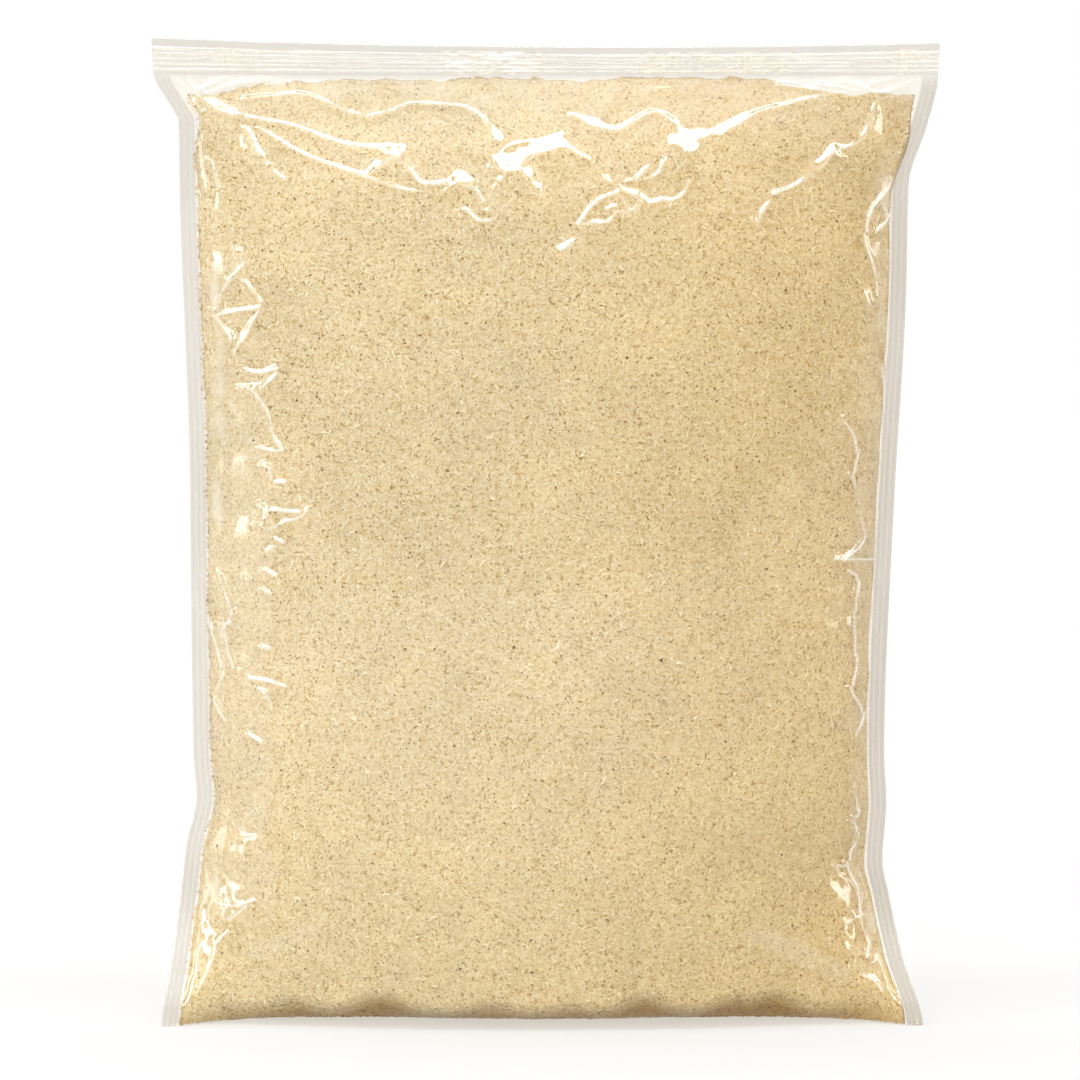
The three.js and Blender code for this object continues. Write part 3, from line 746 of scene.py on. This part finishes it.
def film_sheet(sheet):
    """One sheet: points (rows, columns, 3), haze in seals and painted highlights and veils, cell
    sizes.
    """
    z = film_heights()[:, None]
    body = across_steps(BODY_COLUMNS, 0.15)[None, :]
    left, right = inner_edges(z)
    x_body = lerp(left, right, (body + 1) / 2)
    fin = np.linspace(1, 0, FIN_COLUMNS, endpoint=False)[None, :] * SIDE_SEAL_WIDTH
    x = np.concatenate([left - fin, x_body, right + fin[:, ::-1]], axis=1)
    z = np.broadcast_to(z, x.shape)
    wall, across = sheet.wall(x, z)
    outside = np.maximum(left - x, x - right)
    relief, cells, white = film_relief(sheet, x, z, wall, across)
    ribs = fin_ribs(outside, z)
    relief += rib_relief(x, z) + FIN_RIB_HEIGHT * ribs
    points = sheet.place(x, z, FILM_SEAL_THICKNESS / 2 + wall + relief, across)
    cells[:LARGEST_CELL] = EDGE_CELL
    in_band = BAND_HAZE * smoothstep(z, SHOULDER_TOP - 0.6, SHOULDER_TOP + 0.4)
    in_fin = np.clip(outside / 0.5, 0, 1) * lerp(BETWEEN_RIBS, 1, ribs)
    # The right seal hazier, and so darker: painted shade of the less lit right side
    in_fin *= np.where(x > 0, RIGHT_SEAL_HAZE_AND_SHADE, LEFT_SEAL_HAZE)
    in_fin *= 1 - smoothstep(z, SHOULDER_TOP - 3, SHOULDER_TOP)
    # Painted veils and painted highlight lines whiten the film
    whiter = np.maximum(painted_veil_share(x, z, across), STRONGEST_PAINTED_GLINT * white)
    whiter *= 1 - np.clip(in_fin + 2 * in_band, 0, 1)
    # Painted highlights on the top seal's ribs
    whiter = np.maximum(whiter, painted_rib_glints(x, z) * (in_band > 0))
    return points, np.stack([np.maximum(in_fin, in_band), whiter], -1), cells


def split_cells(cells):
    """The cells of the body of a sheet, as (size, first rows and columns)."""
    rows, columns = np.mgrid[0:BODY_ROWS:LARGEST_CELL, 0:BODY_COLUMNS:LARGEST_CELL]
    waiting = np.stack([rows.ravel(), columns.ravel()], -1)
    size = LARGEST_CELL
    while size >= 1:
        blocks = cells[:BODY_ROWS, FIN_COLUMNS:FIN_COLUMNS + BODY_COLUMNS]
        blocks = blocks.reshape(BODY_ROWS // size, size, BODY_COLUMNS // size, size).min((1, 3))
        small = blocks[tuple(waiting.T // size)] < size
        yield (size, size), waiting[~small] + (0, FIN_COLUMNS)
        half = size // 2
        steps = np.array([(0, 0), (0, half), (half, 0), (half, half)])
        waiting = (waiting[small][:, None] + steps).reshape(-1, 2)
        size = half


def all_cells(cells):
    """The body's cells, narrow ones in the side seals and flat ones in the ribbed seal."""
    yield from split_cells(cells)
    rows, columns = cells.shape[0] - 1, cells.shape[1] - 1
    fins = [*range(FIN_COLUMNS), *range(columns - FIN_COLUMNS, columns)]
    grid = np.stack(np.meshgrid(range(0, BODY_ROWS, LARGEST_CELL), fins), -1)
    yield (LARGEST_CELL, 1), grid.reshape(-1, 2)
    grid = np.stack(np.meshgrid(range(BODY_ROWS, rows), fins), -1)
    yield (1, 1), grid.reshape(-1, 2)
    body = range(FIN_COLUMNS, columns - FIN_COLUMNS, EDGE_CELL)
    grid = np.stack(np.meshgrid(range(BODY_ROWS, rows), body), -1)
    yield (1, EDGE_CELL), grid.reshape(-1, 2)


def cell_ring(height, width):
    """The places round a cell, from its first corner."""
    return np.array(
        [(0, i) for i in range(width)] + [(i, width) for i in range(height)]
        + [(height, width - i) for i in range(width)] + [(height - i, 0) for i in range(height)]
    )


def sheet_faces(cells, first_number):
    """Numbers of a sheet's points, -1 where there is none, and its faces.

    A face has a corner wherever a neighbour has one on its edge, so no gap can open.
    """
    groups = list(all_cells(cells))
    used = np.zeros(cells.shape, bool)
    for (height, width), first in groups:
        for down, along in ((0, 0), (0, width), (height, 0), (height, width)):
            used[first[:, 0] + down, first[:, 1] + along] = True
    numbers = np.full(cells.shape, -1)
    numbers[used] = first_number + np.arange(used.sum())
    faces = []
    for (height, width), first in groups:
        ring = cell_ring(height, width)
        at = numbers[first[:, :1] + ring[:, 0], first[:, 1:] + ring[:, 1]]
        corners = (at >= 0).sum(1)
        for count in np.unique(corners):
            some = at[corners == count]
            faces.append(some[some >= 0].reshape(-1, count))
    return numbers, faces


def mesh_object(name, points, faces, smooth=True):
    """faces is a list of arrays of vertex numbers, one array for each number of corners."""
    mesh = bpy.data.meshes.new(name)
    points = np.asarray(points, np.float32) * MM
    mesh.vertices.add(len(points))
    mesh.vertices.foreach_set("co", points.ravel())
    corners = np.concatenate([f.ravel() for f in faces])
    sizes = np.concatenate([np.full(len(f), f.shape[1]) for f in faces])
    starts = np.concatenate([[0], np.cumsum(sizes)[:-1]])
    mesh.loops.add(len(corners))
    mesh.loops.foreach_set("vertex_index", corners.astype(np.int32))
    mesh.polygons.add(len(sizes))
    mesh.polygons.foreach_set("loop_start", starts.astype(np.int32))
    mesh.update(calc_edges=True)
    mesh.polygons.foreach_set("use_smooth", np.full(len(sizes), smooth))
    mesh.validate()
    obj = bpy.data.objects.new(name, mesh)
    bpy.context.scene.collection.objects.link(obj)
    return obj


def add_attribute(obj, name, values, kind="FLOAT", field="value"):
    attribute = obj.data.attributes.new(name, kind, "POINT")
    attribute.data.foreach_set(field, np.asarray(values, np.float32).ravel())


def add_tint(obj, values):
    add_attribute(obj, "tint", values, "FLOAT_VECTOR", "vector")


def grid_faces(numbers):
    """Quads of a grid of vertex numbers."""
    a, b = numbers[:-1, :-1], numbers[:-1, 1:]
    c, d = numbers[1:, 1:], numbers[1:, :-1]
    return np.stack([a, b, c, d], -1).reshape(-1, 4)


def joined_edge(front, back):
    """Faces between an edge of the front sheet and the same edge of the back sheet."""
    f, b = front[front >= 0], back[back >= 0]
    return np.stack([f[1:], f[:-1], b[:-1], b[1:]], -1)


def make_film():
    front, front_whiter, front_cells = film_sheet(FRONT)
    back, back_whiter, back_cells = film_sheet(BACK)
    f, front_faces = sheet_faces(front_cells, 0)
    b, back_faces = sheet_faces(back_cells, f.max() + 1)
    edges = [
        joined_edge(f[0], b[0]), joined_edge(f[-1], b[-1])[:, ::-1],
        joined_edge(f[:, 0], b[:, 0])[:, ::-1], joined_edge(f[:, -1], b[:, -1]),
    ]
    points = np.concatenate([front[f >= 0], back[b >= 0]])
    turned = [corners[:, ::-1] for corners in back_faces]
    film = mesh_object("film", points, [*front_faces, *turned, *edges])
    # The seals' haze, and the painted highlights and veils
    whiter = np.concatenate([front_whiter[f >= 0], back_whiter[b >= 0]])
    for column, name in enumerate(("seal", "painted_sheen")):
        add_attribute(film, name, whiter[:, column])
    return film


# Flour
FLOUR_GAP = 0.75
FLOUR_BASE = 0.4
FLOUR_TOP = 259.0
FLOUR_COLUMNS, FLOUR_ROWS = 152, 196
SIDE_CROWDING, END_CROWDING = 0.35, 0.55
# The upper corners: (how far the flour stays below, from and to how far out)
LEFT_CORNER, RIGHT_CORNER = (4.6, 62, 96), (4.2, 55, 84)
CORNER_INSET, CORNER_INSET_FROM, CORNER_INSET_FULL = 4.5, 246, 255
# How far the flour stays from the side seals, unevenly
RAGGED, RAGGED_SPREAD, RAGGED_FINE, LEAST_RAGGED = 0.25, 0.25, 0.1, 0.05
# The flour's relief: (depth, length, pattern)
FLOUR_RELIEF = ((0.10, 1.7, 131), (0.07, 4.5, 132), (0.10, 14, 133))
FLOUR_LIE, THINNEST_FLOUR = 0.25, 0.15
RIM_SIDE_POWER, RIM_TOP_POWER = 60, 90


def flour_top(x):
    """How high the flour reaches: lower in the two upper corners."""
    drop_left, *left = LEFT_CORNER
    drop_right, *right = RIGHT_CORNER
    corners = drop_left * smoothstep(-x, *left) + drop_right * smoothstep(x, *right)
    lumps = 0.8 * noise(x / 9, 0 * x, 111) + 0.5 * noise(x / 2.6, 0 * x, 112) - 0.5
    return FLOUR_TOP - corners + lumps


def flour_sheet(sheet):
    a = across_steps(FLOUR_COLUMNS, SIDE_CROWDING)[None, :]
    t = np.linspace(0, 1, FLOUR_ROWS + 1)[:, None]
    t = lerp(t, (1 - np.cos(math.pi * t)) / 2, END_CROWDING)
    left, right = inner_edges(t * FLOUR_TOP)
    ragged = RAGGED + RAGGED_SPREAD * noise(t * 30, np.sign(a) * 5, 121)
    ragged = np.maximum(LEAST_RAGGED, ragged + RAGGED_FINE * noise(t * 70, a * 2, 122))
    corner = CORNER_INSET * smoothstep(t * FLOUR_TOP, CORNER_INSET_FROM, CORNER_INSET_FULL)
    x = lerp(left + ragged + corner, right - ragged - 0.3 * corner, (a + 1) / 2)
    z = FLOUR_BASE + (flour_top(x) - FLOUR_BASE) * t
    wall, across = sheet.wall(x, z)
    rim = np.sqrt(np.maximum(0, 1 - np.abs(a) ** RIM_SIDE_POWER))
    rim = rim * np.sqrt(np.maximum(0, 1 - t**RIM_TOP_POWER))
    relief = sum(deep * noise(x / length, z / length, seed) for deep, length, seed in FLOUR_RELIEF)
    depth = np.maximum(THINNEST_FLOUR, wall - FLOUR_GAP - FLOUR_LIE + relief) * rim
    return sheet.place(x, z, depth, across)


def make_flour():
    front, back = flour_sheet(FRONT), flour_sheet(BACK)
    f = np.arange(front.shape[0] * front.shape[1]).reshape(front.shape[:2])
    b = f.size + f
    b[:, 0], b[:, -1], b[-1] = f[:, 0], f[:, -1], f[-1]
    quads = [grid_faces(f), grid_faces(b)[:, ::-1]]
    base = np.stack([f[0, :-1], b[0, :-1], b[0, 1:], f[0, 1:]], -1)
    points = np.concatenate([front.reshape(-1, 3), back.reshape(-1, 3)])
    faces = np.concatenate(quads)
    whole = np.concatenate([faces, base[1:-1]])
    ends = np.stack([base[0][[0, 2, 3]], base[-1][[0, 1, 2]]])
    used = np.unique(np.concatenate([whole.ravel(), ends.ravel()]))
    renumber = np.full(len(points), -1)
    renumber[used] = np.arange(len(used))
    flour = mesh_object("flour", points[used], [renumber[whole], renumber[ends]])
    add_tint(flour, flour_tint(points[used]))
    return flour, (front, back)


# Painted shade on the less lit right, painted light on the left, painted warm floor light low down
RIGHT_PAINTED_SHADE = (0.955, 0.90, 0.79)
LEFT_PAINTED_LIGHT = (1.02, 1.03, 1.05)
LOW_PAINTED_FLOOR_LIGHT = (0.985, 0.97, 0.90)
# Painted shade where the wall turns under the edge
UNDER_PAINTED_SHADE = (0.60, 0.45, 0.17)
# Painted shade on the turned-under strip: (share, depths under the edge from which it starts and is
# full)
UNDER_SHADE_STEPS = ((0.38, 2.2, 2.7), (0.62, 3, 6.5))
# The painted shade under the edge is weaker towards both sides
CORNER_LIGHTER, CORNER_LIGHTER_FROM, CORNER_LIGHTER_FULL = 0.6, 60, 96
# Paler and darker patches: (strength, length, pattern)
PATCHES = ((0.045, 24, 161), (0.035, 8, 162))


def flour_tint(points):
    """How the flour's colour varies over the bag, with painted shade under the turned-in edge and on
    the right, and painted light on the left and low down.
    """
    x, y, z = np.moveaxis(points, -1, 0)
    edge = np.where(y < 0, edge_height(FRONT_DIMPLES, x), edge_height(BACK_DIMPLES, x))
    # Painted shade under the turned-in edge, weaker towards the corners
    under = sum(share * smoothstep(edge - z, *depths) for share, *depths in UNDER_SHADE_STEPS)
    lighter = smoothstep(np.abs(x), CORNER_LIGHTER_FROM, CORNER_LIGHTER_FULL)
    under *= 1 - CORNER_LIGHTER * lighter
    # Shares of the painted shade on the right, painted light on the left, painted warm floor light
    # low down and painted shade under the edge
    shares = (smoothstep(x, -20, 75), smoothstep(-x, 10, 80), 1 - smoothstep(z, 10, 120), under)
    tint = np.ones(points.shape)
    for share, colour in zip(shares, (RIGHT_PAINTED_SHADE, LEFT_PAINTED_LIGHT, LOW_PAINTED_FLOOR_LIGHT, UNDER_PAINTED_SHADE)):
        tint *= lerp(1, np.array(colour), share[..., None])
    patches = 1 + sum(level * noise(x / run, z / run, seed) for level, run, seed in PATCHES)
    return tint * patches[..., None]


# Spread of the flakes' places, lengths, bends and widths
PLACE_SPREAD, LENGTH_SPREAD = 0.6, 0.3
BENDS, WIDTHS = (0.2, 1.4), (0.7, 1.3)
LOWEST_FLAKE = 0.05


def surface_samples(grids, count, random):
    """Random places on the flour, evenly by area: points, normals."""
    points, normals, areas = [], [], []
    for grid, turn in zip(grids, (1, -1)):
        a, b, d = grid[:-1, :-1], grid[:-1, 1:], grid[1:, :-1]
        cross = np.cross(b - a, d - a) * turn
        area = np.linalg.norm(cross, axis=-1)
        points.append(a.reshape(-1, 3))
        normals.append((cross / np.maximum(area, 1e-9)[..., None]).reshape(-1, 3))
        areas.append(area.ravel())
    points, normals, areas = map(np.concatenate, (points, normals, areas))
    chosen = random.choice(len(points), count, p=areas / areas.sum())
    spread = random.uniform(-PLACE_SPREAD, PLACE_SPREAD, (count, 3))
    normal = normals[chosen]
    spread -= normal * (spread * normal).sum(1)[:, None]
    return points[chosen] + spread, normal


def scatter(grids, name, count, shape_and_faces, length, seed, lift, tilt):
    """Joined copies of a small shape, lying on the flour at random turns and sizes."""
    shape, faces = shape_and_faces
    random = np.random.default_rng(SEED + seed)
    place, normal = surface_samples(grids, count, random)
    lean = random.normal(0, tilt, (count, 3))
    up = normal + lean
    up /= np.linalg.norm(up, axis=1)[:, None]
    along = np.cross(up, random.normal(0, 1, (count, 3)))
    along /= np.linalg.norm(along, axis=1)[:, None]
    side = np.cross(up, along)
    size = random.lognormal(math.log(length), LENGTH_SPREAD, count)
    bend = random.uniform(*BENDS, count)
    flat = random.uniform(*WIDTHS, count)
    s = shape[None] * size[:, None, None]
    sideways = s[..., 1] * flat[:, None] + bend[:, None] * s[..., 0] ** 2 / size[:, None]
    sideways -= bend[:, None] * size[:, None] / 8
    v = (
        place[:, None]
        + along[:, None] * s[..., 0:1]
        + side[:, None] * sideways[..., None]
        + up[:, None] * (s[..., 2:3] + lift)
    )
    numbers = faces[None] + (np.arange(count) * len(shape))[:, None, None]
    v[..., 2] = np.maximum(v[..., 2], LOWEST_FLAKE)
    flecks = mesh_object(name, v.reshape(-1, 3), [numbers.reshape(-1, 3)], smooth=False)
    # The flakes take the flour's tint, with its painted light and shade
    add_tint(flecks, np.repeat(flour_tint(place), len(shape), axis=0))
    return flecks


# A thin bent sliver of ground almond, one long, with one edge a little raised
SLIVER = (
    np.array([(-0.5, -0.02, 0), (0, -0.11, 0.01), (0.5, 0.02, 0), (0, 0.11, 0.07)]),
    np.array([(0, 1, 3), (1, 2, 3)]),
)
# A flat fleck, one long: four corners round it, one above and one below
CHIP = (
    np.array([(-0.5, 0.05, 0), (0, 0.38, 0.03), (0.5, -0.08, 0), (-0.05, -0.36, 0),
              (0.03, 0, 0.16), (0, 0, -0.16)]),
    np.array([face for i in range(4) for face in (((i + 1) % 4, i, 4), (i, (i + 1) % 4, 5))]),
)


# Materials
WHITE = (1, 1, 1, 1)

FILM_CLEAR = (0.98, 0.968, 0.945, 1)
FILM_REFLECTS, FILM_EDGE_REFLECTS = 0.05, 0.4
SCHLICK_POWER = 5
SHARP_GLOSS, SOFT_GLOSS, SOFT_SHARE = 0.04, 0.22, 0.3
SEAL_HAZE, SEAL_HAZE_THROUGH = (0.60, 0.545, 0.46, 1), (0.62, 0.565, 0.48, 1)
LEAST_HAZE, MOST_HAZE, HAZIEST_SEAL = 0.01, 0.69, 2
# Colours of the painted highlights and painted veils
PAINTED_SHEEN_COLOURS = ((0.2, (0.93, 0.86, 0.70)), (0.6, (0.93, 0.91, 0.87)))

# The flour's relief and colours; noise scales are in features a metre
WARP_SCALE, WARP_REACH = 700, 0.0016
GRAIN_SCALE, GRAIN_DETAIL, GRAIN_ROUGHNESS = 1100, 3, 0.62
GRAIN_COLOURS = ((0.30, (0.55, 0.37, 0.13)), (0.44, (0.76, 0.61, 0.345)), (0.62, (0.86, 0.73, 0.48)))
# Winding lines: (scale, width, share, colour)
LIGHT_CURLS = (820, 0.075, 0.55, (0.90, 0.79, 0.56, 1))
DARK_CURLS = (640, 0.035, 0.45, (0.52, 0.34, 0.11, 1))
CURL_BUMP, BUMP_STRENGTH, BUMP_DEPTH = 0.4, 0.9, 0.0003
FLOUR_ROUGHNESS, FLOUR_GLOSS = 0.85, 0.2
FLECK_ROUGHNESS, FLECK_GLOSS = 0.8, 0.25

FLOOR_COLOUR = (0.303, 0.315, 0.340, 1)
FLOOR_GLOW = (0.560, 0.540, 0.500, 1)


def node(tree, kind, inputs=(), **settings):
    """A shader node; each input, by number or name, is a value or another node's output."""
    made = tree.nodes.new("ShaderNode" + kind)
    for name, setting in settings.items():
        setattr(made, name, setting)
    for key, value in dict(inputs).items():
        if isinstance(value, bpy.types.NodeSocket):
            tree.links.new(value, made.inputs[key])
        else:
            made.inputs[key].default_value = value
    return made


def calculate(tree, operation, *values):
    return node(tree, "Math", enumerate(values), operation=operation).outputs[0]


def ramp(tree, value, low, high, from_value=0, to_value=1, curve="SMOOTHSTEP"):
    inputs = {"Value": value, "From Min": low, "From Max": high,
              "To Min": from_value, "To Max": to_value}
    return node(tree, "MapRange", inputs, interpolation_type=curve).outputs[0]


def blend(tree, share, first, second):
    """The first shader, with a share of the second in its place."""
    return node(tree, "MixShader", enumerate((share, first, second))).outputs[0]


def colour_ramp(tree, value, stops):
    """Colours along a value, through stops of (position, colour)."""
    made = node(tree, "ValToRGB", {"Fac": value})
    elements = made.color_ramp.elements
    elements[0].position, elements[1].position = stops[0][0], stops[-1][0]
    for position, _ in stops[1:-1]:
        elements.new(position)
    for element, (_, colour) in zip(elements, stops):
        element.color = (*colour, 1)
    return made.outputs["Color"]


def tinted(tree, colour):
    """A colour times the mesh's tint, which holds painted light and shade."""
    tint = node(tree, "Attribute", attribute_name="tint").outputs["Vector"]
    return node(tree, "VectorMath", {0: colour, 1: tint}, operation="MULTIPLY").outputs[0]


def new_material(name):
    material = bpy.data.materials.new(name)
    material.use_nodes = True
    material.node_tree.nodes.clear()
    return material, material.node_tree


def finished(material, shader):
    node(material.node_tree, "OutputMaterial", {"Surface": shader})
    return material


def film_material():
    """Clear and glossy, hazy in the seals, and white where highlights and veils of light are painted
    on.
    """
    material, tree = new_material("clear_film")
    clear = node(tree, "BsdfTransparent", {"Color": FILM_CLEAR}).outputs[0]
    sharp, soft = (
        node(tree, "BsdfGlossy", {"Color": WHITE, "Roughness": roughness}).outputs[0]
        for roughness in (SHARP_GLOSS, SOFT_GLOSS)
    )
    # Schlick's curve, which is the same from both sides of the film
    facing = node(tree, "LayerWeight", {"Blend": 0.5}).outputs["Facing"]
    curve = calculate(tree, "POWER", facing, SCHLICK_POWER)
    mirror = ramp(tree, curve, 0, 1, FILM_REFLECTS, FILM_EDGE_REFLECTS, "LINEAR")
    film = blend(tree, mirror, clear, blend(tree, SOFT_SHARE, sharp, soft))

    cloudy = node(tree, "BsdfDiffuse", {"Color": SEAL_HAZE}).outputs[0]
    through = node(tree, "BsdfTranslucent", {"Color": SEAL_HAZE_THROUGH}).outputs[0]
    seal = node(tree, "Attribute", attribute_name="seal").outputs["Fac"]
    haze = ramp(tree, seal, 0, HAZIEST_SEAL, LEAST_HAZE, MOST_HAZE, "LINEAR")
    film = blend(tree, haze, film, blend(tree, 0.5, cloudy, through))

    # Painted highlights and veils of reflected light, as a white diffuse layer
    painted_sheen = node(tree, "Attribute", attribute_name="painted_sheen").outputs["Fac"]
    white = node(tree, "BsdfDiffuse", {"Color": colour_ramp(tree, painted_sheen, PAINTED_SHEEN_COLOURS)}).outputs[0]
    return finished(material, blend(tree, painted_sheen, film, white))


def flour_material():
    material, tree = new_material("almond_flour")
    place = node(tree, "TexCoord").outputs["Object"]
    warp = node(tree, "TexNoise", {"Vector": place, "Scale": WARP_SCALE, "Detail": 1})
    inputs = {0: warp.outputs["Color"], 1: (WARP_REACH,) * 3, 2: place}
    moved = node(tree, "VectorMath", inputs, operation="MULTIPLY_ADD").outputs[0]
    inputs = {"Vector": moved, "Scale": GRAIN_SCALE, "Detail": GRAIN_DETAIL,
              "Roughness": GRAIN_ROUGHNESS}
    grain = node(tree, "TexNoise", inputs).outputs["Fac"]

    def curls(kind, vector, below):
        """Winding lines, where a noise passes through its middle, and colour with them on it."""
        scale, width, share, colour = kind
        lines = node(tree, "TexNoise", {"Vector": vector, "Scale": scale, "Detail": 1})
        off = calculate(tree, "SUBTRACT", lines.outputs["Fac"], 0.5)
        mask = ramp(tree, calculate(tree, "ABSOLUTE", off), 0, width, 1, 0)
        inputs = {"Factor": calculate(tree, "MULTIPLY", mask, share), 6: below, 7: colour}
        return mask, node(tree, "Mix", inputs, data_type="RGBA").outputs[2]

    light, colour = curls(LIGHT_CURLS, place, colour_ramp(tree, grain, GRAIN_COLOURS))
    _, colour = curls(DARK_CURLS, moved, colour)
    height = calculate(tree, "MULTIPLY_ADD", light, CURL_BUMP, grain)
    inputs = {"Strength": BUMP_STRENGTH, "Distance": BUMP_DEPTH, "Height": height}
    bump = node(tree, "Bump", inputs).outputs[0]
    inputs = {"Base Color": tinted(tree, colour), "Roughness": FLOUR_ROUGHNESS,
              "Specular IOR Level": FLOUR_GLOSS, "Normal": bump}
    return finished(material, node(tree, "BsdfPrincipled", inputs).outputs[0])


def fleck_material(name, dark, light):
    """A matte colour that varies from piece to piece."""
    material, tree = new_material(name)
    each = node(tree, "NewGeometry").outputs["Random Per Island"]
    colour = colour_ramp(tree, each, ((0, dark), (1, light)))
    inputs = {"Base Color": tinted(tree, colour), "Roughness": FLECK_ROUGHNESS,
              "Specular IOR Level": FLECK_GLOSS}
    return finished(material, node(tree, "BsdfPrincipled", inputs).outputs[0])


def floor_material():
    material, tree = new_material("studio_floor")
    paint = node(tree, "BsdfDiffuse", {"Color": FLOOR_COLOUR}).outputs[0]
    glow = node(tree, "Emission", {"Color": FLOOR_GLOW}).outputs[0]
    return finished(material, node(tree, "AddShader", {0: paint, 1: glow}).outputs[0])


def add(obj, material):
    obj.data.materials.append(material)
    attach(obj, "root")
    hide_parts("bag")


# What lies on the flour: (piece, count, shape, length, seed, lift, tilt) and (material, darkest
# colour, lightest colour).
SCATTERED = (
    (("pale_flakes", 90000, SLIVER, 1.35, 201, 0.05, 0.13),
     ("pale_flake", (0.80, 0.69, 0.44), (0.93, 0.84, 0.62))),
    (("creamy_flakes", 90000, SLIVER, 1.2, 202, 0.03, 0.15),
     ("creamy_flake", (0.68, 0.53, 0.28), (0.84, 0.71, 0.45))),
    (("tan_flakes", 60000, SLIVER, 0.95, 205, 0.03, 0.16),
     ("tan_flake", (0.30, 0.175, 0.03), (0.64, 0.45, 0.165))),
    (("golden_flecks", 15000, CHIP, 0.50, 203, 0.06, 0.25),
     ("golden_fleck", (0.24, 0.13, 0.02), (0.48, 0.30, 0.075))),
    (("skin_specks", 2900, CHIP, 0.44, 204, 0.10, 0.3),
     ("almond_skin", (0.05, 0.022, 0.004), (0.24, 0.12, 0.025))),
    (("large_specks", 14, CHIP, 1.3, 206, 0.1, 0.1),
     ("large_speck", (0.07, 0.035, 0.012), (0.16, 0.09, 0.03))),
)

add(make_film(), film_material())
flour, grids = make_flour()
add(flour, flour_material())
for pieces, colours in SCATTERED:
    add(scatter(grids, *pieces), fleck_material(*colours))


# Studio
FLOOR_REACH, FLOOR_BACK = 4000, 2500

# The light that falls on the bag
SKY_LEVEL = 0.50
SKY_LEAN = -0.28
FRONT_FILL = 1.0
BACK_FILL = 0.75
VEIL_LEVEL = 0.5
ARCH_LEVEL = 3.6
ARCH_SIDE_SHARE = 0.02
ARCH_BACK_SHARE = 0.4
# The same room as the film mirrors it
MIRRORED_SKY = 0.2
MIRRORED_SOFTBOX = 2.2
MIRRORED_ARCH = 26.0
MIRRORED_SIDE_SHARE = 0.5
# How bright the camera sees the backdrop
BACKDROP = 1.0

# The photograph's width at the middle of the bag
PHOTO_WIDTH = 297.0
SENSOR = 36.0
CLIP = (0.05, 20)


def make_floor():
    corners = [(-FLOOR_REACH, -FLOOR_REACH, 0), (FLOOR_REACH, -FLOOR_REACH, 0),
               (FLOOR_REACH, FLOOR_BACK, 0), (-FLOOR_REACH, FLOOR_BACK, 0)]
    floor = mesh_object("studio_floor", np.array(corners, float), [np.array([[0, 1, 2, 3]])])
    floor.data.materials.append(floor_material())
    floor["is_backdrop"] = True


def make_world():
    """A soft white room with a bright arch of light over the bag, in front and behind."""
    world = bpy.data.worlds.new("studio")
    bpy.context.scene.world = world
    world.use_nodes = True
    tree = world.node_tree
    tree.nodes.clear()

    def smooth(*values):
        return ramp(tree, *values)

    def product(first, *others):
        for other in others:
            first = calculate(tree, "MULTIPLY", first, other)
        return first

    def plus(total, part, level=1.0):
        return calculate(tree, "MULTIPLY_ADD", part, level, total)

    def background(strength):
        return node(tree, "Background", {"Color": WHITE, "Strength": strength}).outputs[0]

    way = node(tree, "TexCoord").outputs["Generated"]
    right, behind, up = node(tree, "SeparateXYZ", {0: way}).outputs
    beside = calculate(tree, "ABSOLUTE", behind)
    arch = product(
        smooth(beside, 0.10, 0.15), smooth(beside, 0.27, 0.34, 1, 0), smooth(up, -0.05, 0.12),
        smooth(behind, -0.1, 0.1, 1, ARCH_BACK_SHARE), smooth(right, -0.9, 0.9, 1.1, 0.75),
    )
    lit = plus(SKY_LEVEL, right, SKY_LEAN)
    lit = plus(lit, smooth(behind, -1, -0.1, FRONT_FILL, 0))
    lit = plus(lit, smooth(behind, 0.1, 1, 0, BACK_FILL))
    lit = plus(lit, product(smooth(beside, 0.25, 0.8, 1, 0), smooth(up, 0.2, 0.9)), VEIL_LEVEL)
    lit = plus(lit, product(arch, smooth(up, 0.08, 0.5, ARCH_SIDE_SHARE, 1)), ARCH_LEVEL)
    softbox = product(smooth(beside, 0.25, 0.55), smooth(beside, 0.5, 0.95, 1, 0),
                      smooth(up, 0.2, 0.6))
    mirrored = plus(MIRRORED_SKY, softbox, MIRRORED_SOFTBOX)
    lamp = product(arch, smooth(up, 0.1, 0.6, MIRRORED_SIDE_SHARE, 1))
    mirrored = plus(mirrored, lamp, MIRRORED_ARCH)

    rays = node(tree, "LightPath").outputs
    room = blend(tree, rays["Is Glossy Ray"], background(lit), background(mirrored))
    shown = blend(tree, rays["Is Camera Ray"], room, background(BACKDROP))
    node(tree, "OutputWorld", {0: shown})


def make_camera():
    data = bpy.data.cameras.new("camera")
    data.sensor_width = SENSOR
    data.lens = SENSOR * CAMERA_DISTANCE / PHOTO_WIDTH
    data.clip_start, data.clip_end = CLIP
    camera = bpy.data.objects.new("camera", data)
    back = Vector((0, -math.cos(CAMERA_ELEVATION), math.sin(CAMERA_ELEVATION)))
    camera.location = (Vector(CAMERA_AIM) + CAMERA_DISTANCE * back) * MM
    camera.rotation_euler = (math.pi / 2 - CAMERA_ELEVATION, 0, 0)
    bpy.context.scene.collection.objects.link(camera)
    bpy.context.scene.camera = camera


make_floor()
make_world()
make_camera()
bpy.context.scene.view_settings.view_transform = "Standard"

boxes = {"cad": cad_box, "visual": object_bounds()}
{name: [list(corner) for corner in box] for name, box in boxes.items()}
